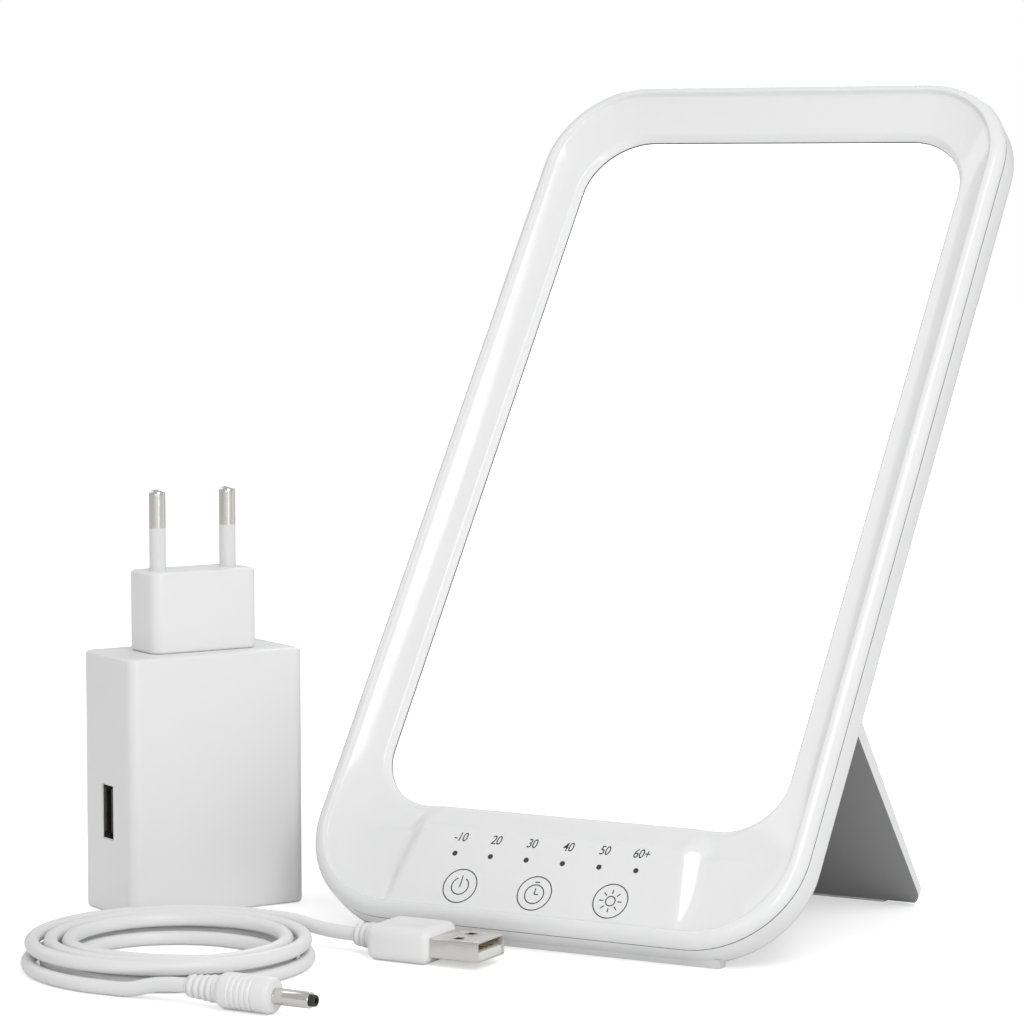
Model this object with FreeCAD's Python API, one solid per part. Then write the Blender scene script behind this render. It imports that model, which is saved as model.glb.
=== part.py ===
# Light therapy lamp: an edge-lit panel that leans on a folding stand, with its lead and wall adapter.
# Millimetres. +X is the right-hand side seen from the front, -Y the front, +Z up.
# The origin is on the floor, on the rubber strip under the middle of the panel's bottom edge.
import FreeCAD, Part
import math
import os
from FreeCAD import Vector

# Panel: x across, y the depth behind the front plane, z the height along the face
PANEL_WIDTH = 124.0
PANEL_HEIGHT = 235.0
LEAN = 36.3
CORNER_RADIUS = 24.0
BEZEL_DEPTH = 3.3
PARTING_GAP = 0.15
EDGE_DEPTH = 12.0
EDGE_ROLL = 3.0
BACK_DEPTH = 15.6
WALL = 1.8

# Front bezel: a rolled rim, a shallow dish, a slope down to the window and a raised control panel
RIM_WIDTH = 3.6
DISH_DEPTH = 1.5
WINDOW_HALF_WIDTH = 51.0
WINDOW_LOW = 30.2
WINDOW_HIGH = 220.7
WINDOW_TOP_RADIUS = 16.0
WINDOW_BOTTOM_RADIUS = 14.0
WINDOW_DEPTH = 5.65
LIP_THICKNESS = 1.0
PANEL_FACE = 0.56
CONTROL_TOP = 22.8
CONTROL_TOP_HALF_WIDTH = 33.0
CONTROL_LOW_HALF_WIDTH = 37.0

# Optical stack
STACK_HALF_WIDTH = 53.4
STACK_LOW = 27.6
STACK_HIGH = 223.4
DIFFUSER_THICKNESS = 1.2
GUIDE_THICKNESS = 2.0
REFLECTOR_THICKNESS = 0.2
BACK_PLATE_THICKNESS = 0.8
LEDS_PER_SIDE = 30

# Controls
DOT_SPACING = 9.17
DOT_HEIGHT = 16.5
KEY_SPACING = 19.0
KEY_HEIGHT = 8.6
BOARD_HALF_WIDTH = 46.0
BOARD_FRONT = 4.0
BOARD_THICKNESS = 1.2

# Low-voltage socket for a 3.5 mm plug, in the left-hand side wall
JACK_HEIGHT = 20.5
JACK_DEPTH = 7.5
JACK_BORE = 1.8
JACK_PIN = 0.6

# Folding stand
RECESS_DEPTH = 11.6
HINGE_HEIGHT = 69.0
HINGE_DEPTH = 13.75
KNUCKLE_RADIUS = 1.9
ROD_RADIUS = 1.0
ROD_CLEARANCE = 0.05
STAND_HALF_WIDTH = 56.0
STAND_OPEN_ANGLE = 77.0
STAND_TAPER = 1.8
EAR_PLACE = 23.0
EAR_WIDTH = 6.0
HINGE_GAP = 0.25

# Rubber
BASE_STRIP_HALF_LENGTH = 45.0
BASE_STRIP_OUT = 0.4
FOOT_STRIP_HALF_LENGTH = 46.0
FOOT_STRIP_THICKNESS = 0.6

# Case screws: places across and up the face
SCREW_PLACES = [(-44.0, 228.2), (44.0, 228.2), (-50.0, 11.0), (50.0, 11.0)]
SCREW_RADIUS = 0.95
SCREW_HEAD_RADIUS = 1.9

# Wall adapter: its own x across the broad face, y front to back
ADAPTER_PLACE = Vector(-97.0, 7.0, 0)
ADAPTER_YAW = 61.5
ADAPTER_WIDTH = 46.0
ADAPTER_DEPTH = 25.0
ADAPTER_HEIGHT = 61.0
ADAPTER_WALL = 2.0
PLUG_BLOCK_WIDTH = 28.0
PLUG_BLOCK_DEPTH = 14.0
PLUG_BLOCK_HEIGHT = 19.0
PIN_RADIUS = 2.0
PIN_SPACING = 18.6
PIN_LENGTH = 19.0
SLEEVE_LENGTH = 10.0
SOCKET_HEIGHT = 24.0

# Lead: a flat coil of two layers with a tail to each plug
COIL_CENTRE = Vector(-62.0, -55.0, 0)
CORD_RADIUS = 1.6
COIL_OUTER = 32.2
COIL_PITCH = 4.1
LAYER_STEP = 4.0
LAYER_TURNS = 2.5
CLIMB_TURNS = 0.5
USB_GRIP_HEIGHT = 8.0
DC_GRIP_RADIUS = 3.9
USB_TAIL = [Vector(3.5, 32.2, 5.6), Vector(11.5, 32.2, 5.6), Vector(20.0, 31.6, 4.0), Vector(28.0, 31.6, 4.0)]
DC_TAIL = [Vector(3.5, -32.2, 1.6), Vector(10.5, -32.2, 1.6), Vector(18.0, -31.4, 3.9), Vector(25.0, -31.4, 3.9)]

X_AXIS = Vector(1, 0, 0)
Y_AXIS = Vector(0, 1, 0)
Z_AXIS = Vector(0, 0, 1)
HALF_WIDTH = PANEL_WIDTH / 2


# Basic solids

def box(low, high):
    size = high - low
    return Part.makeBox(size.x, size.y, size.z, low)


def rod(radius, length, start, axis):
    return Part.makeCylinder(radius, length, start, axis)


def tube(outer, inner, length, start, axis):
    return rod(outer, length, start, axis).cut(rod(inner, length, start, axis))


def fused(solids):
    whole = solids[0].multiFuse(solids[1:])
    return whole.removeSplitter()


def outline(half_width, low, high, top_radius, bottom_radius, depth):
    """A closed rounded rectangle on the plane y = depth, with equal radii at each end."""
    corners = [
        (half_width - top_radius, high - top_radius, top_radius, 0),
        (top_radius - half_width, high - top_radius, top_radius, 90),
        (bottom_radius - half_width, low + bottom_radius, bottom_radius, 180),
        (half_width - bottom_radius, low + bottom_radius, bottom_radius, 270),
    ]
    arcs = []
    for centre_x, centre_z, radius, start in corners:
        points = []
        for angle in (start, start + 45, start + 90):
            turn = math.radians(angle)
            points.append(Vector(centre_x + radius * math.cos(turn), depth, centre_z + radius * math.sin(turn)))
        arcs.append(Part.Arc(*points).toShape())
    edges = []
    for index, arc in enumerate(arcs):
        following = arcs[(index + 1) % 4]
        edges.append(arc)
        edges.append(Part.makeLine(arc.Vertexes[-1].Point, following.Vertexes[0].Point))
    return Part.Wire(edges)


def slab(half_width, low, high, top_radius, bottom_radius, front, back):
    face = Part.Face(outline(half_width, low, high, top_radius, bottom_radius, front))
    return face.extrude(Vector(0, back - front, 0))


def edges_at_depth(solid, depth):
    chosen = []
    for edge in solid.Edges:
        if all(abs(vertex.Point.y - depth) < 1e-4 for vertex in edge.Vertexes):
            chosen.append(edge)
    return chosen


def prism(points, low_x, high_x):
    """A solid with a polygon of (z, y) points as its section, running along x."""
    corners = [Vector(low_x, y, z) for z, y in points]
    face = Part.Face(Part.makePolygon(corners + corners[:1]))
    return face.extrude(Vector(high_x - low_x, 0, 0))


# Where the panel and the stand are

def panel_origin():
    lean = math.radians(LEAN)
    centre_depth = EDGE_DEPTH - EDGE_ROLL
    contact_y = EDGE_ROLL * math.sin(lean) + centre_depth * math.cos(lean)
    contact_z = EDGE_ROLL * math.cos(lean) - centre_depth * math.sin(lean) - EDGE_ROLL
    return Vector(0, -contact_y, BASE_STRIP_OUT - contact_z)


def in_room(shape):
    """Lean a panel piece back and stand it on the floor."""
    placed = shape.copy()
    placed.rotate(Vector(0, 0, 0), X_AXIS, -LEAN)
    placed.translate(panel_origin())
    return placed


def on_panel(shape):
    """Bring a shape given in the room back to the panel's own axes."""
    placed = shape.copy()
    placed.translate(-panel_origin())
    placed.rotate(Vector(0, 0, 0), X_AXIS, LEAN)
    return placed


def opened(shape):
    """Turn a stand piece from its folded place to its open one."""
    placed = shape.copy()
    placed.rotate(Vector(0, HINGE_DEPTH, HINGE_HEIGHT), X_AXIS, STAND_OPEN_ANGLE)
    return placed


def base_strip_block():
    low = Vector(-BASE_STRIP_HALF_LENGTH, -2.2, 0)
    return on_panel(box(low, Vector(BASE_STRIP_HALF_LENGTH, 0.9, 2.0)))


# Front bezel

def window_funnel():
    steps = [
        (55.9, 22.9, 228.6, 19.5, 16.0, DISH_DEPTH - 0.01),
        (55.1, 24.4, 227.4, 19.0, 15.6, 2.6),
        (54.0, 26.4, 225.4, 18.2, 15.0, 3.9),
        (52.9, 28.4, 223.3, 17.2, 14.6, 4.95),
        (WINDOW_HALF_WIDTH, WINDOW_LOW, WINDOW_HIGH, WINDOW_TOP_RADIUS, WINDOW_BOTTOM_RADIUS, WINDOW_DEPTH),
    ]
    slope = Part.makeLoft([outline(*step) for step in steps], True, True)
    opening = slab(
        WINDOW_HALF_WIDTH, WINDOW_LOW, WINDOW_HIGH, WINDOW_TOP_RADIUS, WINDOW_BOTTOM_RADIUS,
        WINDOW_DEPTH, WINDOW_DEPTH + LIP_THICKNESS + 1,
    )
    return slope, opening


def dish():
    steps = [
        (HALF_WIDTH - RIM_WIDTH, RIM_WIDTH, PANEL_HEIGHT - RIM_WIDTH, 20.4, 20.4, -0.01),
        (57.0, 5.2, 229.8, 19.8, 19.4, 0.7),
        (56.2, 6.6, 228.9, 19.6, 18.6, DISH_DEPTH),
    ]
    return Part.makeLoft([outline(*step) for step in steps], True, True)


def control_panel():
    """The raised field that carries the keys: a prism with sloping sides."""
    sections = []
    for depth, growth in ((PANEL_FACE, 0.0), (DISH_DEPTH + 0.5, 2.4)):
        corners = [
            Vector(-CONTROL_LOW_HALF_WIDTH - growth, depth, 2.4),
            Vector(CONTROL_LOW_HALF_WIDTH + growth, depth, 2.4),
            Vector(CONTROL_TOP_HALF_WIDTH + growth, depth, CONTROL_TOP + growth * 0.4),
            Vector(-CONTROL_TOP_HALF_WIDTH - growth, depth, CONTROL_TOP + growth * 0.4),
        ]
        sections.append(Part.makePolygon(corners + corners[:1]))
    return Part.makeLoft(sections, True, True)


def front_bezel():
    front = slab(HALF_WIDTH, 0, PANEL_HEIGHT, CORNER_RADIUS, CORNER_RADIUS, 0, BEZEL_DEPTH)
    front = front.makeFillet(EDGE_ROLL, edges_at_depth(front, 0))
    slope, opening = window_funnel()
    back = WINDOW_DEPTH + LIP_THICKNESS
    seat_steps = [
        (56.6, 22.6, 228.4, 20.0, 17.0, BEZEL_DEPTH - 0.3),
        (54.6, 26.6, 224.4, 18.0, 16.0, back),
    ]
    seat = Part.makeLoft([outline(*step) for step in seat_steps], True, True)
    tongue = slab(HALF_WIDTH - 1.95, 1.95, PANEL_HEIGHT - 1.95, 22.0, 22.0, BEZEL_DEPTH - 0.2, 5.2)
    tongue = tongue.cut(slab(HALF_WIDTH - 3.0, 3.0, PANEL_HEIGHT - 3.0, 21.0, 21.0, BEZEL_DEPTH - 0.3, 5.3))
    tongue = tongue.cut(rod(3.1, 8, Vector(-HALF_WIDTH, JACK_DEPTH, JACK_HEIGHT), X_AXIS))
    solids = [front.cut(dish()), control_panel(), seat, tongue]
    for x, z in SCREW_PLACES:
        solids.append(rod(2.4, 8.9 - 2.0, Vector(x, 2.0, z), Y_AXIS))
    bezel = fused(solids).cut(slope).cut(opening)
    holes = [rod(SCREW_RADIUS, 6.0, Vector(x, 3.0, z), Y_AXIS) for x, z in SCREW_PLACES]
    for x in dot_places():
        holes.append(rod(0.6, 4.0, Vector(x, 0, DOT_HEIGHT), Y_AXIS))
    for x in key_places():
        holes.append(rod(5.6, 2.0, Vector(x, 2.2, KEY_HEIGHT), Y_AXIS))
    return bezel.cut(Part.makeCompound(holes))


# Rear cover

def recess_cut():
    open_turn = math.radians(STAND_OPEN_ANGLE)
    normal_z = math.sin(open_turn)
    normal_y = math.cos(open_turn)
    offset = KNUCKLE_RADIUS + HINGE_GAP

    def stop_height(depth):
        return HINGE_HEIGHT + (offset - normal_y * (depth - HINGE_DEPTH)) / normal_z

    points = [
        (-3, RECESS_DEPTH), (stop_height(RECESS_DEPTH), RECESS_DEPTH), (stop_height(20), 20), (-3, 20),
    ]
    half = STAND_HALF_WIDTH + 0.5
    return prism(points, -half, half)


def hinge_ears():
    ears = []
    for side in (-1, 1):
        low_x = side * EAR_PLACE - EAR_WIDTH / 2
        barrel = rod(KNUCKLE_RADIUS, EAR_WIDTH, Vector(low_x, HINGE_DEPTH, HINGE_HEIGHT), X_AXIS)
        low = Vector(low_x, RECESS_DEPTH - 0.3, HINGE_HEIGHT - KNUCKLE_RADIUS)
        post = box(low, Vector(low_x + EAR_WIDTH, HINGE_DEPTH, HINGE_HEIGHT + KNUCKLE_RADIUS))
        ears += [barrel, post]
    return ears


def cover_ribs():
    back = BACK_DEPTH - 1.6
    front = back_plate_back()
    ribs = []
    for x in (-36.0, -12.0, 12.0, 36.0):
        ribs.append(box(Vector(x - 0.6, front, 80), Vector(x + 0.6, back + 0.3, 218)))
    for z in (96.0, 128.0, 160.0, 192.0):
        ribs.append(box(Vector(-52, front, z - 0.6), Vector(52, back + 0.3, z + 0.6)))
    return ribs


def rear_cover():
    shell = slab(
        HALF_WIDTH, 0, PANEL_HEIGHT, CORNER_RADIUS, CORNER_RADIUS,
        BEZEL_DEPTH + PARTING_GAP, EDGE_DEPTH,
    )
    shell = shell.makeFillet(EDGE_ROLL, edges_at_depth(shell, EDGE_DEPTH))
    plateau = slab(58.5, 5.0, 221.0, 20.5, 20.5, EDGE_DEPTH - 0.5, BACK_DEPTH)
    plateau = plateau.makeFillet(1.2, edges_at_depth(plateau, BACK_DEPTH))
    cavity = slab(HALF_WIDTH - WALL, WALL, PANEL_HEIGHT - WALL, 22.2, 22.2, 3.0, 10.3)
    hollow = slab(56.5, 76.0, 219.2, 18.5, 3.0, 10.2, BACK_DEPTH - 1.6)
    cover = shell.fuse(plateau).cut(cavity).cut(hollow).cut(recess_cut())
    solids = [cover] + hinge_ears() + cover_ribs()
    for x, z in SCREW_PLACES:
        solids.append(rod(3.0, 1.7, Vector(x, 8.9, z), Y_AXIS))
    cover = fused(solids)
    holes = [
        base_strip_block(),
        rod(2.9, 5.0, Vector(-HALF_WIDTH - 1, JACK_DEPTH, JACK_HEIGHT), X_AXIS),
    ]
    for side in (-1, 1):
        start = Vector(side * EAR_PLACE - EAR_WIDTH, HINGE_DEPTH, HINGE_HEIGHT)
        holes.append(rod(ROD_RADIUS + ROD_CLEARANCE, EAR_WIDTH * 2, start, X_AXIS))
    for x, z in SCREW_PLACES:
        holes.append(rod(SCREW_RADIUS + 0.15, 6.0, Vector(x, 8.0, z), Y_AXIS))
        holes.append(rod(SCREW_HEAD_RADIUS + 0.2, 4.0, Vector(x, 10.3, z), Y_AXIS))
    return cover.cut(Part.makeCompound(holes))


# Optical stack

def diffuser_front():
    return WINDOW_DEPTH + LIP_THICKNESS


def guide_front():
    return diffuser_front() + DIFFUSER_THICKNESS


def reflector_front():
    return guide_front() + GUIDE_THICKNESS


def back_plate_front():
    return reflector_front() + REFLECTOR_THICKNESS


def back_plate_back():
    return back_plate_front() + BACK_PLATE_THICKNESS


def diffuser_plate():
    return slab(STACK_HALF_WIDTH, STACK_LOW, STACK_HIGH, 17.5, 15.5, diffuser_front(), guide_front())


def light_guide():
    half = STACK_HALF_WIDTH - 0.8
    return box(Vector(-half, guide_front(), STACK_LOW), Vector(half, reflector_front(), STACK_HIGH))


def reflector_sheet():
    low = Vector(-STACK_HALF_WIDTH, reflector_front(), STACK_LOW)
    return box(low, Vector(STACK_HALF_WIDTH, back_plate_front(), STACK_HIGH))


def back_plate():
    plate = slab(STACK_HALF_WIDTH, 78.0, 217.5, 16.0, 2.0, back_plate_front(), back_plate_back())
    holes = [rod(2.0, 3.0, Vector(x, 9.5, 84.0), Y_AXIS) for x in (-46.0, 46.0)]
    return plate.cut(Part.makeCompound(holes))


def led_boards():
    boards = []
    for side in (-1, 1):
        low_x = min(side * 53.8, side * 54.8)
        boards.append(box(Vector(low_x, 7.0, 30.0), Vector(low_x + 1.0, 10.2, 221.0)))
    return Part.makeCompound(boards)


def strip_leds():
    chips = []
    pitch = (STACK_HIGH - STACK_LOW - 14.0) / (LEDS_PER_SIDE - 1)
    for side in (-1, 1):
        low_x = min(side * 52.8, side * 53.8)
        for index in range(LEDS_PER_SIDE):
            z = STACK_LOW + 7.0 + index * pitch
            low = Vector(low_x, guide_front() + 0.2, z - 1.4)
            chips.append(box(low, Vector(low_x + 1.0, reflector_front() - 0.2, z + 1.4)))
    return Part.makeCompound(chips)


# Controls

def dot_places():
    return [(index - 2.5) * DOT_SPACING for index in range(6)]


def key_places():
    return [-KEY_SPACING, 0.0, KEY_SPACING]


def board_back():
    return BOARD_FRONT + BOARD_THICKNESS


def control_board():
    return box(Vector(-BOARD_HALF_WIDTH, BOARD_FRONT, 5.2), Vector(BOARD_HALF_WIDTH, board_back(), 22.0))


def control_chips():
    sizes = [
        (-38.0, 8.0, 6.0, 5.0, 1.0),
        (-26.0, 15.0, 8.0, 8.0, 3.2),
        (-12.0, 9.0, 5.0, 5.0, 1.2),
        (2.0, 13.0, 9.0, 7.0, 1.6),
        (18.0, 9.0, 4.0, 3.0, 1.0),
        (32.0, 14.0, 6.0, 6.0, 2.4),
    ]
    chips = []
    for x, z, width, height, depth in sizes:
        low = Vector(x - width / 2, board_back(), z - height / 2)
        chips.append(box(low, low + Vector(width, depth, height)))
    return Part.makeCompound(chips)


def touch_pads():
    pads = [rod(5.2, BOARD_FRONT - 2.2, Vector(x, 2.2, KEY_HEIGHT), Y_AXIS) for x in key_places()]
    return Part.makeCompound(pads)


def indicator_leds():
    lights = []
    for x in dot_places():
        lights.append(box(Vector(x - 0.6, 3.5, DOT_HEIGHT - 0.4), Vector(x + 0.6, BOARD_FRONT, DOT_HEIGHT + 0.4)))
    return Part.makeCompound(lights)


def indicator_windows():
    length = 3.4 - PANEL_FACE
    pins = [rod(0.6, length, Vector(x, PANEL_FACE, DOT_HEIGHT), Y_AXIS) for x in dot_places()]
    return Part.makeCompound(pins)


# Low-voltage socket, its mouth at the left

def jack_body():
    low = Vector(-58.9, JACK_DEPTH - 2.2, JACK_HEIGHT - 3.0)
    block = box(low, Vector(-49.5, JACK_DEPTH + 2.5, JACK_HEIGHT + 3.0))
    nose = rod(2.8, 2.6, Vector(-61.4, JACK_DEPTH, JACK_HEIGHT), X_AXIS)
    bore = rod(JACK_BORE, 9.9, Vector(-61.4, JACK_DEPTH, JACK_HEIGHT), X_AXIS)
    slot = box(
        Vector(-58.0, JACK_DEPTH + JACK_BORE - 0.4, JACK_HEIGHT - 0.9),
        Vector(-50.5, JACK_DEPTH + JACK_BORE + 0.5, JACK_HEIGHT + 0.9),
    )
    socket = block.fuse(nose).cut(bore).cut(slot)
    return socket.cut(rod(JACK_PIN, 3.0, Vector(-51.5, JACK_DEPTH, JACK_HEIGHT), X_AXIS))


def jack_pin():
    stem = rod(JACK_PIN, 9.5, Vector(-59.5, JACK_DEPTH, JACK_HEIGHT), X_AXIS)
    return stem.fuse(box(
        Vector(-50.0, JACK_DEPTH - 0.3, JACK_HEIGHT - 0.6), Vector(-48.0, JACK_DEPTH + 0.3, JACK_HEIGHT + 0.6),
    ).cut(box(
        Vector(-50.0, JACK_DEPTH - 0.3, JACK_HEIGHT - 0.6), Vector(-49.5, JACK_DEPTH + 0.3, JACK_HEIGHT + 0.6),
    ))).fuse(rod(JACK_PIN, 0.5, Vector(-50.0, JACK_DEPTH, JACK_HEIGHT), X_AXIS))


def jack_spring():
    low = Vector(-57.8, JACK_DEPTH + JACK_BORE + 0.1, JACK_HEIGHT - 0.7)
    return box(low, Vector(-50.7, JACK_DEPTH + JACK_BORE + 0.4, JACK_HEIGHT + 0.7))


def bent_wire(points, radius):
    """A round wire along straight runs joined by tangent arcs."""
    path, radii = rounded_path(points)
    start = points[0]
    direction = (points[1] - points[0]).normalize()
    section = Part.Wire(Part.makeCircle(radius, start, direction))
    shell = Part.BRepOffsetAPI.MakePipeShell(path)
    shell.add(section)
    shell.build()
    shell.makeSolid()
    return shell.shape(), path.Length, radii


def rounded_path(points):
    edges = []
    radii = []
    start = points[0]
    for before, corner, after in zip(points, points[1:], points[2:]):
        inward = (corner - before).normalize()
        outward = (after - corner).normalize()
        half_turn = inward.getAngle(outward) / 2
        setback = 0.45 * min((corner - before).Length, (after - corner).Length)
        radius = setback / math.tan(half_turn)
        radii.append(radius)
        first = corner - inward * setback
        last = corner + outward * setback
        middle_way = (outward - inward).normalize()
        middle = corner + middle_way * (radius / math.cos(half_turn) - radius)
        edges.append(Part.LineSegment(start, first).toShape())
        edges.append(Part.Arc(first, middle, last).toShape())
        start = last
    edges.append(Part.LineSegment(start, points[-1]).toShape())
    return Part.Wire(edges), radii


def jack_wires():
    routes = [
        [Vector(-48.0, 7.5, 20.5), Vector(-45.2, 7.5, 20.5), Vector(-44.0, 6.6, 18.0), Vector(-44.0, 5.2, 18.0)],
        [Vector(-49.5, 9.3, 19.0), Vector(-46.6, 9.3, 19.0), Vector(-42.0, 8.2, 16.0), Vector(-42.0, 5.2, 16.0)],
    ]
    return Part.makeCompound([bent_wire(route, 0.45)[0] for route in routes])


def led_wires():
    wires = []
    for side in (-1, 1):
        route = [
            Vector(side * 54.3, 8.6, 30.0), Vector(side * 54.3, 8.6, 27.2), Vector(side * 52.4, 8.2, 24.9),
            Vector(side * 48.2, 7.4, 24.9), Vector(side * 44.4, 7.0, 21.0), Vector(side * 44.4, 5.2, 21.0),
        ]
        wires.append(bent_wire(route, 0.45)[0])
    return Part.makeCompound(wires)


def case_screws():
    screws = []
    for x, z in SCREW_PLACES:
        shank = rod(SCREW_RADIUS, 7.2, Vector(x, 3.1, z), Y_AXIS)
        head = rod(SCREW_HEAD_RADIUS, 1.1, Vector(x, 10.3, z), Y_AXIS)
        slot_a = box(Vector(x - 1.1, 10.9, z - 0.2), Vector(x + 1.1, 12, z + 0.2))
        slot_b = box(Vector(x - 0.2, 10.9, z - 1.1), Vector(x + 0.2, 12, z + 1.1))
        screws.append(shank.fuse(head).cut(slot_a).cut(slot_b))
    return Part.makeCompound(screws)


# Folding stand, made in its folded place and then opened

def stand_blank():
    inner = HINGE_DEPTH - KNUCKLE_RADIUS
    outer = HINGE_DEPTH + KNUCKLE_RADIUS
    low = HINGE_HEIGHT - 80
    points = [(HINGE_HEIGHT, inner), (low, inner), (low, outer - STAND_TAPER * 80 / 70), (HINGE_HEIGHT, outer)]
    return prism(points, -STAND_HALF_WIDTH, STAND_HALF_WIDTH)


def above_floor(height):
    """Everything in the room above a height, on the panel's axes, folded back with the stand."""
    room = box(Vector(-100, -200, height), Vector(100, 300, 300))
    folded = on_panel(room)
    folded.rotate(Vector(0, HINGE_DEPTH, HINGE_HEIGHT), X_AXIS, -STAND_OPEN_ANGLE)
    return folded


def stand_low_end():
    return stand_blank().common(above_floor(FOOT_STRIP_THICKNESS)).BoundBox.ZMin


def stand_panel():
    plate = stand_blank().common(above_floor(FOOT_STRIP_THICKNESS))
    low = stand_low_end()
    plate = plate.common(slab(STAND_HALF_WIDTH, low, HINGE_HEIGHT + 5, 0.5, 6.0, 0, 20))
    knuckle = rod(KNUCKLE_RADIUS, STAND_HALF_WIDTH * 2, Vector(-STAND_HALF_WIDTH, HINGE_DEPTH, HINGE_HEIGHT), X_AXIS)
    inner = HINGE_DEPTH - KNUCKLE_RADIUS
    tray = slab(STAND_HALF_WIDTH - 3.4, low + 5.5, HINGE_HEIGHT - 6.5, 3.0, 4.0, inner - 1, inner + 0.7)
    panel = plate.fuse(knuckle).removeSplitter().cut(tray)
    cuts = [rod(ROD_RADIUS, 84.0, Vector(-42.0, HINGE_DEPTH, HINGE_HEIGHT), X_AXIS)]
    for side in (-1, 1):
        reach = EAR_WIDTH / 2 + 0.4
        low_corner = Vector(side * EAR_PLACE - reach, 0, HINGE_HEIGHT - 3.0)
        cuts.append(box(low_corner, Vector(side * EAR_PLACE + reach, 20, HINGE_HEIGHT + 3.0)))
    return opened(panel.cut(Part.makeCompound(cuts)))


def stand_foot_strip():
    whole = stand_blank().common(above_floor(0)).cut(above_floor(FOOT_STRIP_THICKNESS))
    length = box(Vector(-FOOT_STRIP_HALF_LENGTH, 0, -50), Vector(FOOT_STRIP_HALF_LENGTH, 30, 100))
    return opened(whole.common(length))


def hinge_rod():
    return opened(rod(ROD_RADIUS, 84.0, Vector(-42.0, HINGE_DEPTH, HINGE_HEIGHT), X_AXIS))


def friction_washers():
    washers = []
    for side in (-1, 1):
        for edge in (-1, 1):
            face = side * EAR_PLACE + edge * (EAR_WIDTH / 2 + 0.4)
            start = Vector(min(face, face - edge * 0.3), HINGE_DEPTH, HINGE_HEIGHT)
            washers.append(tube(1.8, ROD_RADIUS, 0.3, start, X_AXIS))
    return opened(Part.makeCompound(washers))


# Wall adapter, made at the origin and then set in its place

def beside_lamp(shape):
    placed = shape.copy()
    placed.rotate(Vector(0, 0, 0), Z_AXIS, ADAPTER_YAW)
    placed.translate(ADAPTER_PLACE)
    return placed


def upright_block(width, depth, low, high, radius):
    block = box(Vector(-width / 2, -depth / 2, low), Vector(width / 2, depth / 2, high))
    upright = [edge for edge in block.Edges if abs(edge.tangentAt(0).z) > 0.9]
    return block.makeFillet(radius, upright)


def socket_mouth(grow):
    low = Vector(-ADAPTER_WIDTH / 2 - 1, -2.9 - grow, SOCKET_HEIGHT - 6.6 - grow)
    return box(low, Vector(-ADAPTER_WIDTH / 2 + 12.0, 2.9 + grow, SOCKET_HEIGHT + 6.6 + grow))


def adapter_case():
    case = upright_block(ADAPTER_WIDTH, ADAPTER_DEPTH, 0, ADAPTER_HEIGHT, 2.5)
    rims = [edge for edge in case.Edges if abs(edge.BoundBox.ZMin - edge.BoundBox.ZMax) < 1e-4]
    case = case.makeFillet(0.9, [edge for edge in rims if edge.BoundBox.ZMin > 1])
    room = upright_block(
        ADAPTER_WIDTH - 2 * ADAPTER_WALL, ADAPTER_DEPTH - 2 * ADAPTER_WALL,
        ADAPTER_WALL, ADAPTER_HEIGHT - ADAPTER_WALL, 1.5,
    )
    plate_room = upright_block(ADAPTER_WIDTH - 3, ADAPTER_DEPTH - 3, -1, ADAPTER_WALL + 0.1, 1.2)
    return case.cut(room).cut(plate_room).cut(socket_mouth(0.0))


def adapter_base_plate():
    return upright_block(ADAPTER_WIDTH - 3.2, ADAPTER_DEPTH - 3.2, 0, ADAPTER_WALL, 1.1)


def adapter_plug_block():
    low = ADAPTER_HEIGHT
    block = upright_block(PLUG_BLOCK_WIDTH, PLUG_BLOCK_DEPTH, low, low + PLUG_BLOCK_HEIGHT, 3.0)
    tops = [edge for edge in block.Edges if edge.BoundBox.ZMin > low + PLUG_BLOCK_HEIGHT - 0.01]
    block = block.makeFillet(0.8, tops)
    holes = [rod(1.5, 8.0, Vector(x, 0, low + PLUG_BLOCK_HEIGHT - 8.0), Z_AXIS) for x in pin_places()]
    return block.cut(Part.makeCompound(holes))


def pin_places():
    return [-PIN_SPACING / 2, PIN_SPACING / 2]


def pin_base():
    return ADAPTER_HEIGHT + PLUG_BLOCK_HEIGHT


def adapter_pins():
    pins = []
    for x in pin_places():
        core = rod(1.5, 8.0 + SLEEVE_LENGTH, Vector(x, 0, pin_base() - 8.0), Z_AXIS)
        tip_length = PIN_LENGTH - SLEEVE_LENGTH
        tip = rod(PIN_RADIUS, tip_length, Vector(x, 0, pin_base() + SLEEVE_LENGTH), Z_AXIS)
        ends = [edge for edge in tip.Edges if edge.BoundBox.ZMin > pin_base() + PIN_LENGTH - 0.01]
        pins.append(core.fuse(tip.makeFillet(1.2, ends)))
    return Part.makeCompound(pins)


def adapter_pin_sleeves():
    sleeves = [tube(PIN_RADIUS, 1.5, SLEEVE_LENGTH, Vector(x, 0, pin_base()), Z_AXIS) for x in pin_places()]
    return Part.makeCompound(sleeves)


def adapter_usb_shell():
    left = -ADAPTER_WIDTH / 2
    outer = box(Vector(left + 0.3, -2.9, SOCKET_HEIGHT - 6.6), Vector(left + 12.0, 2.9, SOCKET_HEIGHT + 6.6))
    inner = box(Vector(left, -2.55, SOCKET_HEIGHT - 6.25), Vector(left + 11.6, 2.55, SOCKET_HEIGHT + 6.25))
    return outer.cut(inner)


def adapter_usb_tongue():
    left = -ADAPTER_WIDTH / 2
    return box(Vector(left + 1.6, -0.6, SOCKET_HEIGHT - 5.2), Vector(left + 11.6, 1.3, SOCKET_HEIGHT + 5.2))


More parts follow.
